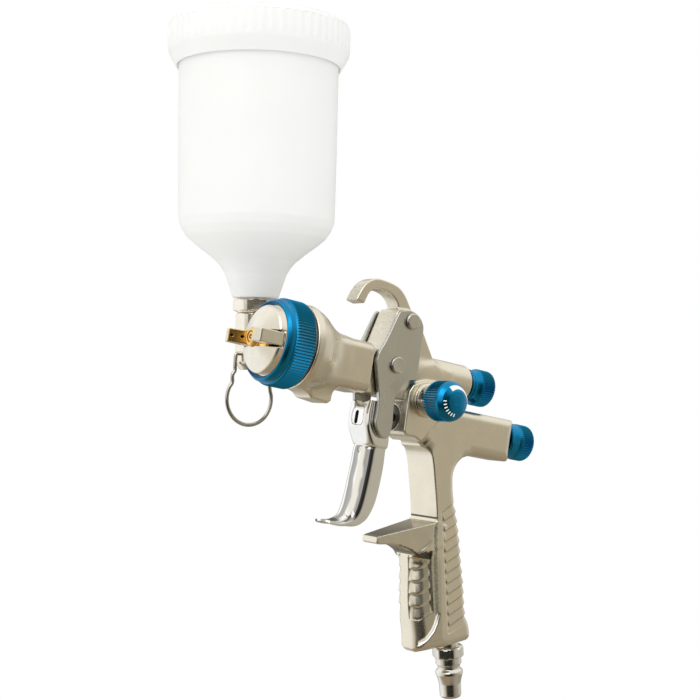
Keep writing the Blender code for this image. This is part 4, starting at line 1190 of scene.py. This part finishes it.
# ------------------------------------------------------------------ trigger plates and pins
PLATE = [(56.8, 22.7), (58.5, 23.5), (61.6, 24.3), (65.0, 23.9), (67.6, 22.4), (69.4, 20.3),
         (70.3, 17.6), (70.5, 9.1), (70.6, -3.4), (70.4, -3.8), (68.4, -4.1), (66.4, -4.9),
         (64.0, -6.7), (62.2, -9.2), (61.1, -12.0), (60.7, -15.4), (60.9, -20.0), (61.2, -23.4),
         (60.9, -27.2), (59.8, -29.6), (58.3, -30.4), (56.1, -29.6), (53.8, -27.2), (52.5, -24.4),
         (52.6, -19.0), (52.3, -13.9), (48.7, -1.2), (48.9, 2.4), (49.8, 5.4), (52.0, 9.9)]
SIDES = ((-1, "near"), (1, "far"))
CROSS_X = 59.0          # x of the needle's cross pins


def side_plate(side, tag):
    name = "side_plate_" + tag
    low, high = sorted((side * 7.5, side * 9.5))
    rim = curve_outline(PLATE, step=0.7, sharp=(8, 9))
    outlines = [rim, circle(PIVOT, 2.6), circle((CROSS_X, 0.9), 2.9)]
    mesh = slab_mesh(name, outlines, "y", low, high, bevel=0.38, steps=3)
    mats = ("plate", "blue_painted_reflection") if side < 0 else "plate"
    plate = add_piece(name, mesh, mats, "trigger", "trigger_plate_" + tag)
    weighted = plate.modifiers.new("weighted", "WEIGHTED_NORMAL")
    weighted.keep_sharp = True
    weighted.weight = 60
    if side > 0:
        return
    # painted reflection: the rim beside the pattern knob is painted blue, as the knob's reflection
    for face in mesh.polygons:
        x, _, z = face.center / MM
        beside = x > 60.0 and -19.0 < z < -3.6
        if abs(face.normal[1]) < 0.9 and beside and math.dist((x, z), PATTERN) < 18.0:
            face.material_index = 1


for side, tag in SIDES:
    side_plate(side, tag)
pin_half = [(9.75, 2.3, 0.1), (9.75, 3.4, 0.1), (10.75, 3.4, 0.35), (11.15, 2.9, 0.3), (11.15, 0)]
lathe("pivot_pin", [(-s, *rest) for s, *rest in pin_half[::-1]] + pin_half,
      (PIVOT[0], 0, PIVOT[1]), ALONG_Y, "pin", "gun", "trigger_pivot_pin", "brushed_steel",
      segments=72, default=0.1)
for side, tag in SIDES:
    lathe("cross_pin_" + tag,
          [(3.0, 0), (3.0, 2.3, 0.2), (9.75, 2.3, 0.1), (9.75, 3.4, 0.1), (10.7, 3.4, 0.3),
           (11.0, 3.0, 0.3), (10.85, 2.2, 0.5), (10.7, 0)],
          (CROSS_X, 0, 0.6), (0, side, 0), "pin", "needle", "needle_cross_pin_" + tag,
          "brushed_steel", segments=72, default=0.1)

# ------------------------------------------------------------------ finger lever
# From top to bottom: front x, z, rear x, z, half width,
# roundness of the front (0 flat face, 1 half round)
LEVER = np.array([
    (50.0, -15.6, 60.4, -15.2, 7.1, 0.0), (49.7, -18.0, 60.6, -18.0, 7.15, 0.0),
    (49.5, -20.5, 60.8, -20.5, 7.2, 0.0), (49.6, -23.5, 61.1, -23.5, 7.2, 0.02),
    (49.9, -26.6, 61.4, -26.0, 7.2, 0.06), (50.6, -28.8, 61.9, -28.6, 7.15, 0.14),
    (51.7, -31.4, 62.2, -31.4, 7.1, 0.30), (52.5, -33.4, 62.2, -33.4, 7.05, 0.5),
    (52.9, -34.0, 61.9, -34.0, 6.95, 0.6), (52.7, -34.6, 61.5, -34.6, 6.8, 0.75),
    (52.4, -36.0, 61.4, -36.0, 6.85, 0.72), (52.2, -41.5, 61.5, -41.5, 6.9, 0.72),
    (51.7, -48.0, 61.1, -48.0, 6.95, 0.72), (51.2, -53.5, 60.5, -53.5, 6.95, 0.72),
    (50.7, -57.5, 59.8, -57.5, 6.9, 0.72), (50.0, -61.0, 58.4, -61.5, 6.8, 0.7),
    (49.0, -63.8, 56.2, -65.0, 6.6, 0.6), (46.6, -65.6, 52.0, -67.6, 6.4, 0.4),
    (43.6, -66.4, 46.0, -68.1, 6.1, 0.25), (40.4, -66.6, 40.4, -67.7, 5.8, 0.2),
])
LEVER_STEP_ROWS = (7, 8)    # rows at the step into the finger channel, divided finer
LEVER_WALL = 1.3
LEVER_COUNT = 56            # divisions across each section
SLOT_Y, SLOT_Z = 0.5, -22.9
SLOT_RADIUS, SLOT_HALF, SLOT_LEAN = 1.15, 1.7, 0.11


def lever_row(t):
    """The LEVER row at a fractional index, by a smooth curve through the rows."""
    last = len(LEVER) - 1
    i = min(int(t), last - 1)
    u = t - i
    p = [LEVER[min(max(i + k, 0), last)] for k in (-1, 0, 1, 2)]
    m1, m2 = (p[2] - p[0]) / 2, (p[3] - p[1]) / 2
    return ((2 * u ** 3 - 3 * u * u + 1) * p[1] + (u ** 3 - 2 * u * u + u) * m1
            + (-2 * u ** 3 + 3 * u * u) * p[2] + (u ** 3 - u * u) * m2)


def lever_section(t):
    """Outer and inner lines of points across the lever at a fractional row."""
    row = lever_row(t)
    front, run, half = row[:2], row[2:4] - row[:2], row[4]
    roundness = float(np.clip(row[5], 0, 1))
    length = np.linalg.norm(run)
    run = run / length
    # how far back the rounded front reaches
    corner = min(1.7 * (1 - roundness) + 6.4 * roundness, length * 0.85)
    power = 2.0 + 1.6 * (1 - roundness)
    # the top edge dips in the middle
    top_dip = -1.35 * max(0.0, 1.0 - t / 1.5)

    def line(inset):
        wide = half - inset
        depth = max(corner - inset * 0.3, 0.4)
        out = []
        for k in range(LEVER_COUNT + 1):
            q = k / LEVER_COUNT
            if q < 0.25:
                back, y = length - (length - depth - inset) * (q / 0.25), wide
            elif q > 0.75:
                back, y = length - (length - depth - inset) * ((1 - q) / 0.25), -wide
            else:
                a = (q - 0.25) / 0.5 * math.pi
                c, s = math.cos(a), math.sin(a)
                y = wide * math.copysign(abs(c) ** (2 / power), c)
                back = inset + depth * (1 - abs(s) ** (2 / power))
            p = front + run * back
            out.append((p[0], y, p[1] + top_dip * max(0.0, 1 - (y / 6.2) ** 2)))
        return out

    return line(0.0), line(min(LEVER_WALL, length * 0.8))


def lever_shell():
    stations = []
    for i in range(len(LEVER) - 1):
        fine = 4 if i in LEVER_STEP_ROWS else 3
        stations += [i + k / fine for k in range(fine)]
    stations.append(len(LEVER) - 1)
    sections = [lever_section(t) for t in stations]
    verts = [v for outer, _ in sections for v in outer]
    base = len(verts)
    verts += [v for _, inner in sections for v in inner]
    count, m = LEVER_COUNT, LEVER_COUNT + 1
    faces = []
    for i in range(len(sections) - 1):
        for k in range(count):
            a = i * m + k
            faces.append((a, a + 1, a + m + 1, a + m))
            faces.append((base + a, base + a + m, base + a + m + 1, base + a + 1))
        a = i * m
        faces.append((a, a + m, base + a + m, base + a))
        a += count
        faces.append((a, base + a, base + a + m, a + m))
    for k in range(count):
        faces.append((k, base + k, base + k + 1, k + 1))
        a = (len(sections) - 1) * m + k
        faces.append((a, a + 1, base + a + 1, base + a))
    mesh = mesh_of("finger_lever", verts, faces)
    turn_outwards(mesh, check_volume=False)
    return mesh


def slot_outline():
    """A leaning slot with round ends, as (y from SLOT_Y, z)."""
    out = []
    for k in range(40):
        a = 2 * math.pi * (k + 0.5) / 40
        end = SLOT_HALF if math.sin(a) >= 0 else -SLOT_HALF
        lean = SLOT_LEAN * (end + SLOT_RADIUS * math.sin(a))
        out.append((SLOT_RADIUS * math.cos(a) - lean, SLOT_Z + end + SLOT_RADIUS * math.sin(a)))
    return out


def finger_lever():
    """Chromed lever: a flat head steps into a rounded finger channel with a curled lip."""
    shell = lever_shell()
    slot = slot_outline()
    cutter = slab_mesh("slot_cutter", [[(y + SLOT_Y, z) for y, z in slot]], "x", 44.0, 56.0,
                       bevel=0.01, steps=0)
    blank = bpy.data.objects.new("finger_lever", shell)
    tool = bpy.data.objects.new("slot_cutter", cutter)
    scene.collection.objects.link(blank)
    scene.collection.objects.link(tool)
    cut = blank.modifiers.new("cut", "BOOLEAN")
    cut.operation = "DIFFERENCE"
    cut.solver = "EXACT"
    cut.object = tool
    mesh = evaluated_mesh(blank)
    bpy.data.objects.remove(tool, do_unlink=True)
    smooth(mesh, 42)
    # painted shade: a dark plate behind the slot, larger than it
    wide = [(SLOT_Y + y * 1.5, SLOT_Z + (z - SLOT_Z) * 1.25) for y, z in slot]
    shadow = slab_mesh("lever_slot_shadow", [wide], "x", 50.95, 51.5, bevel=0.03, steps=1)
    add_piece("lever_slot_shadow", shadow, "rubber", "trigger", "trigger_lever")
    lever = add_piece("finger_lever", mesh, ("chrome", channel_chrome(), "rubber"), "trigger",
                      "trigger_lever")
    # painted reflection bands on the channel's front faces, painted shade on the slot's walls
    for face in mesh.polygons:
        x, y, z = face.center / MM
        forward = face.normal[0]
        in_slot = x < 52.5 and abs(y - SLOT_Y) < 2.2 and abs(z - SLOT_Z) < 3.4
        if z < -34.3 and forward < -0.25:
            face.material_index = 1
        elif abs(forward) < 0.5 and in_slot:
            face.material_index = 2
    bevel = lever.modifiers.new("edge", "BEVEL")
    bevel.width = 0.00022
    bevel.segments = 2
    bevel.limit_method = "ANGLE"
    bevel.angle_limit = math.radians(48)


finger_lever()

# ------------------------------------------------------------------ air valve and hose plug
lathe("push_bar", [(-5.2, 0), (-5.2, 1.7, 0.3), (5.2, 1.7, 0.3), (5.2, 0)], (57.6, 0, AIR_Z),
      ALONG_Y, "steel", "trigger", "valve_push_bar", "brushed_steel", segments=48)
lathe("air_stem",
      [(59.6, 0), (59.6, 1.0, 0.3), (60.3, 1.6, 0.3), (80.0, 1.6, 0.1), (80.0, 3.8, 0.2),
       (83.0, 3.8, 0.2), (83.0, 1.6, 0.1), (87.2, 1.6, 0.2), (87.2, 0)],
      (0, 0, AIR_Z), ALONG_X, "steel", "air_valve", "air_valve_stem", "brushed_steel", segments=48)
lathe("valve_cage", [(67.6, 2.0), (67.6, 5.1, 0.3), (76.0, 5.1, 0.2), (76.0, 2.0)],
      (0, 0, AIR_Z), ALONG_X, "dark", "gun", "air_valve_cage", "brass", segments=72, closed=True)


def hose_plug():
    top = Vector(PLUG_TOP)
    along = (Vector(PLUG_END) - top).normalized()
    profile = [(-9.5, 2.6), (-9.5, 4.7), (4.9, 4.7, 0.1), (4.9, 5.3), (5.1, 5.6, 0.15),
               (7.7, 5.65, 0.3), (8.2, 5.2, 0.25), (8.9, 4.8, 0.4), (9.8, 4.85, 0.5),
               (10.7, 5.75, 0.5), (11.2, 6.0, 0.35), (12.2, 5.95, 0.5), (13.6, 5.45, 1.2),
               (16.4, 4.8, 1.5), (21.6, 4.7, 0.8), (22.6, 4.1, 0.5), (22.6, 2.9, 0.2),
               (21.9, 2.6, 0.2)]
    parts = [lathe_mesh("plug_body", profile, top, along, closed=True, default=0.15),
             hexagon_mesh("plug_hexagon", top + along * 0.1, top + along * 4.9, flats=12.5,
                          bore=3.0, turn=math.radians(-12))]
    add_piece("hose_plug", merge("hose_plug", parts), "steel", "gun", "air_inlet_plug")


hose_plug()

# ------------------------------------------------------------------ side inlet, cup and lid
INLET = (INLET_X, 0, 0)
add_piece("lock_nut", hexagon_mesh("lock_nut", (INLET_X, 19.3, 0), (INLET_X, 24.6, 0), flats=15.0,
                                   bore=4.2),
          "nickel", "gun", "inlet_lock_nut")
lathe("side_nipple", [(13.0, 2.4), (13.0, 3.9), (30.6, 3.9, 0.3), (30.6, 2.4)],
      INLET, ALONG_Y, "nickel", "gun", "inlet_nipple", "nickel", segments=64, closed=True)

# The cup's axis leans forward; stations run up it from CUP_BASE.
CUP_LEAN = math.radians(9.53)
CUP_AXIS = Vector((-math.sin(CUP_LEAN), 0, math.cos(CUP_LEAN)))
CUP_Y = 38.0
CUP_BASE = Vector((18.46, CUP_Y, 0))


def cup_hexagon(low, high, flats, bore):
    return hexagon_mesh("cup_hexagon", CUP_BASE + CUP_AXIS * low, CUP_BASE + CUP_AXIS * high,
                        flats, bore, turn=math.radians(30))


swivel = [
    cup_hexagon(-6.6, 15.2, flats=15.0, bore=0.0),
    lathe_mesh("swivel_foot", [(-8.9, 0), (-8.9, 6.3, 0.5), (-6.4, 8.0, 0.6), (-5.6, 8.2, 0.4),
                               (-5.2, 7.4, 0.2), (-5.2, 0)], CUP_BASE, CUP_AXIS),
    lathe_mesh("swivel_arm", [(25.9, 0), (25.9, 7.6, 0.3), (26.3, 8.0, 0.3), (36.0, 8.0, 0.2),
                              (36.0, 0)], INLET, ALONG_Y),
]
add_piece("swivel_fitting", merge("swivel_fitting", swivel), "nickel", "cup", "swivel_block")
stud = [
    lathe_mesh("washer", [(15.35, 4.0), (15.35, 7.8, 0.1), (15.95, 7.8, 0.1), (15.95, 4.0)],
               CUP_BASE, CUP_AXIS, closed=True),
    lathe_mesh("stud_tube", [(6.6, 3.0), (6.6, 4.9, 0.2), (24.0, 4.9, 0.2), (24.0, 3.0)],
               CUP_BASE, CUP_AXIS, segments=64, closed=True),
    cup_hexagon(15.9, 21.2, flats=17.0, bore=4.0),
]
add_piece("stud_nut", merge("stud_nut", stud), "nickel", "cup", "cup_stud")

cup_outer = [
    (21.75, 9.3, 0.3), (21.9, 9.85, 0.3), (26.9, 11.4, 2.0), (31.6, 13.0, 3.0),
    (34.6, 14.7, 3.0), (37.2, 16.9, 3.0), (40.6, 21.0, 3.0), (44.3, 26.0, 3.0),
    (47.3, 29.5, 4.0), (50.9, 32.0, 4.0), (54.5, 33.2, 3.0), (59.0, 33.4, 3.0),
    (85.0, 33.8, 2.0), (98.0, 33.95, 2.0), (130.0, 34.2, 0.4)]
cup_inner = [(130.0, 32.5, 0.3)] + [(s + 0.9, r - 1.7, 2.0) for s, r, _ in cup_outer[13:3:-1]]
cup_inner += [(33.0, 9.0, 1.0), (30.0, 5.3, 0.5), (21.75, 5.3, 0.2)]
lathe("cup_shell", cup_outer + cup_inner, CUP_BASE, CUP_AXIS, "cup", "cup", "cup_body",
      "white_nylon", segments=192, closed=True, default=0.3, longest=3.0)
lathe("cup_cap",
      [(120.0, 34.75, 0.2), (119.9, 35.3, 0.25), (122.5, 36.7, 0.6), (125.6, 38.5, 1.2),
       (128.0, 39.0, 1.2), (136.2, 38.95, 1.0), (138.2, 37.9, 1.2), (138.9, 36.2, 1.0),
       (138.9, 30.0, 0.6), (138.2, 28.8, 0.6), (138.2, 1.6, 0.2), (136.6, 1.6, 0.2),
       (136.6, 32.0, 0.4), (132.0, 35.0, 0.5)],
      CUP_BASE, CUP_AXIS, "cup", "lid", "cup_lid", "white_nylon",
      segments=720, closed=True, longest=1.0, angle=45,
      flute=dict(count=60, radius=39.0, depth=0.5, first=127.0, last=136.4))
lathe("vent_plug",
      [(135.6, 0), (135.6, 1.2, 0.1), (138.6, 1.2, 0.1), (138.6, 4.6, 0.3), (141.4, 4.6, 0.5),
       (142.1, 3.8, 0.4), (142.1, 0)],
      CUP_BASE, CUP_AXIS, "nylon", "lid", "lid_vent_plug", "white_nylon", segments=64)


def wire_clip():
    """A wire from one side of the swivel, round a loop below it, to the other side."""
    loop_centre, loop_radius = Vector((19.6, CUP_Y, -21.4)), 11.0
    station = -3.4
    # (x, z) from the two sides of the swivel
    front = [(0.6, 0), (-2.4, 0), (-3.2, -0.6), (-3.3, -1.6), (-2.9, -5.4), (-2.6, -7.4),
             (-3.4, -9.4)]
    rear = [(2.4, -6.6), (3.5, -4.4), (3.6, -1.6), (3.3, -0.6), (2.4, 0), (-0.6, 0)]

    def leg(side_x, offsets):
        root = CUP_BASE + Vector((side_x, 0, 0)) + CUP_AXIS * station
        return [root + Vector((x, 0, z)) for x, z in offsets]

    path = leg(-6.0, front)
    for i in range(25):
        a = math.radians(150 + 240 * i / 24)
        path.append(loop_centre + Vector((math.cos(a), 0, math.sin(a))) * loop_radius)
    path += leg(6.0, rear)
    add_piece("wire_clip", sweep_mesh("wire_clip", path, radius=0.85, sides=18), "wire", "clip",
              "cup_clip")


wire_clip()

# ------------------------------------------------------------------ CAD nodes that stay
KEPT_NODES = {
    "nickel": ("air_baffle", "fluid_bush", "air_bush", "fluid_spring_seat", "air_spring_seat"),
    "ptfe": ("needle_packing", "plug_thread_seal", "inlet_gasket", "paint_strainer", "lid_gasket"),
    "brass": ("packing_nut", "needle_collar"),
    "rubber": ("air_valve_seal", "pattern_seal"),
    "steel": ("needle_spring", "air_valve_spring", "fluid_needle", "air_valve_spring_cup",
              "cap_retaining_clip"),
    "pin": ("needle_yoke",),
}
for mat, names in KEPT_NODES.items():
    for name in names:
        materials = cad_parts[name].data.materials
        materials.clear()
        materials.append(MATS[mat])


# ------------------------------------------------------------------ studio
def studio_floor():
    """White to the camera, warm in reflections, pale otherwise."""
    half, z = 3000, -300
    corners = [(-half, -half, z), (half, -half, z), (half, half, z), (-half, half, z)]
    floor = bpy.data.objects.new("studio_floor", mesh_of("studio_floor", corners, [(0, 1, 2, 3)]))
    scene.collection.objects.link(floor)
    t = Surface("pale_floor")
    t.set("Base Color", t.mix(t.noise(60.0), (0.93, 0.92, 0.90), (0.95, 0.945, 0.93)))
    t.set("Roughness", 0.8)
    t.bump(t.noise(3.0), 0.02)
    white = t.node("ShaderNodeEmission")
    white.inputs["Color"].default_value = (1, 1, 1, 1)
    warm = t.node("ShaderNodeEmission")
    warm.inputs["Color"].default_value = (0.42, 0.36, 0.27, 1)
    rays = t.node("ShaderNodeLightPath").outputs
    seen = t.mix_shader(rays["Is Glossy Ray"], t.bsdf.outputs[0], warm.outputs[0])
    seen = t.mix_shader(rays["Is Camera Ray"], seen, white.outputs[0])
    t.link(seen, t.out.inputs[0])
    floor.data.materials.append(t.mat)
    floor.visible_glossy = False
    floor.visible_diffuse = False


# Azimuth in degrees, brightness, warmth (0 neutral, 1 tan) of the reflected room
PANORAMA = [
    (-175, 0.92, 0.4), (-160, 1.0, 0.2), (-138, 1.0, 0.0), (-129, 0.12, 0.6), (-94, 0.04, 0.8),
    (-80, 0.34, 1.0), (-66, 0.48, 1.3), (-42, 0.50, 1.2), (-10, 0.70, 0.4), (20, 0.60, 0.5),
    (48, 0.26, 0.9), (60, 0.13, 1.0), (73, 0.65, 0.3), (95, 1.05, 0.0), (130, 1.1, 0.0),
    (146, 0.85, 0.5), (162, 0.85, 0.5)]
# the same below the horizon
LOW_PANORAMA = [
    (-179, 0.40, 1.0), (-168, 0.20, 0.8), (-158, 0.03, 0.8), (-98, 0.02, 0.8), (-84, 0.20, 1.4),
    (-66, 0.36, 1.4), (-40, 0.40, 1.3), (0, 0.36, 1.3), (40, 0.26, 1.0), (75, 0.60, 0.4),
    (100, 1.0, 0.0), (140, 1.0, 0.0), (165, 0.7, 0.8)]


def studio_world():
    """A room for reflections, soft white light for the rest, and white to the camera."""
    world = bpy.data.worlds.new("studio")
    scene.world = world
    world.use_nodes = True
    world.node_tree.nodes.clear()
    t = Nodes(world.node_tree)
    out = t.node("ShaderNodeOutputWorld")
    axes = t.axes(t.node("ShaderNodeTexCoord").outputs["Generated"])
    height = axes["Z"]
    # the third input of these nodes has no effect
    turn = t.math("ARCTAN2", axes["Y"], axes["X"], 0.0)
    azimuth = t.math("ADD", t.math("DIVIDE", turn, 2 * math.pi, 0.0), 0.5, 0.0)

    def panorama(table):
        stops = [(0.5 + degrees / 360.0, (v, v * (1 - 0.07 * warmth), v * (1 - 0.22 * warmth)))
                 for degrees, v, warmth in table]
        return t.ramp(azimuth, stops, kind="EASE")

    def above(low, high):
        return t.span(height, low, high, kind="SMOOTHSTEP")

    sky = t.mix(above(0.30, 0.75), panorama(PANORAMA), (0.98, 0.97, 0.93))
    around = t.mix(above(-0.04, -0.26), sky, panorama(LOW_PANORAMA))
    room = t.mix(above(-0.55, -0.85), around, (0.34, 0.27, 0.18))
    soft = t.mix(above(-0.6, 0.7), (1.20, 1.19, 1.17), (1.10, 1.10, 1.09))
    rays = t.node("ShaderNodeLightPath").outputs
    seen = t.mix(rays["Is Glossy Ray"], soft, room)
    seen = t.mix(rays["Is Camera Ray"], seen, (1.0, 1.0, 1.0))
    background = t.node("ShaderNodeBackground")
    t.link(seen, background.inputs["Color"])
    t.link(background.outputs[0], out.inputs[0])
    world.cycles.sampling_method = "NONE"


def key_light():
    """A softbox in front of the gun, above it and on its near side."""
    data = bpy.data.lights.new("key_softbox", "AREA")
    data.shape = "RECTANGLE"
    data.size = 0.9
    data.size_y = 0.9
    data.energy = 4.0
    data.color = (1.0, 0.99, 0.96)
    key = bpy.data.objects.new("key_softbox", data)
    key.location = Vector((-0.9, -0.5, 0.9)) + TO_SEAT
    aim = Vector((0.03, 0.0, 0.0)) + TO_SEAT - Vector(key.location)
    key.rotation_euler = aim.to_track_quat("-Z", "Y").to_euler()
    scene.collection.objects.link(key)


def photo_camera():
    data = bpy.data.cameras.new("photo_camera")
    data.sensor_width = 36.0
    data.lens = 68.99
    data.clip_start = 0.01
    data.clip_end = 20.0
    camera = bpy.data.objects.new("photo_camera", data)
    right = (0.7998, -0.5817, 0.1481)
    up = (-0.1863, -0.0061, 0.9825)
    back = (-0.5706, -0.8134, -0.1132)
    place = (-0.27556, -0.45117, -0.05917)
    pose = Matrix((*zip(right, up, back, place), (0, 0, 0, 1)))
    camera.matrix_world = Matrix.Translation(TO_SEAT) @ pose
    scene.collection.objects.link(camera)
    scene.camera = camera


studio_floor()
studio_world()
key_light()
photo_camera()
scene.view_settings.view_transform = "Standard"
scene.view_settings.look = "None"
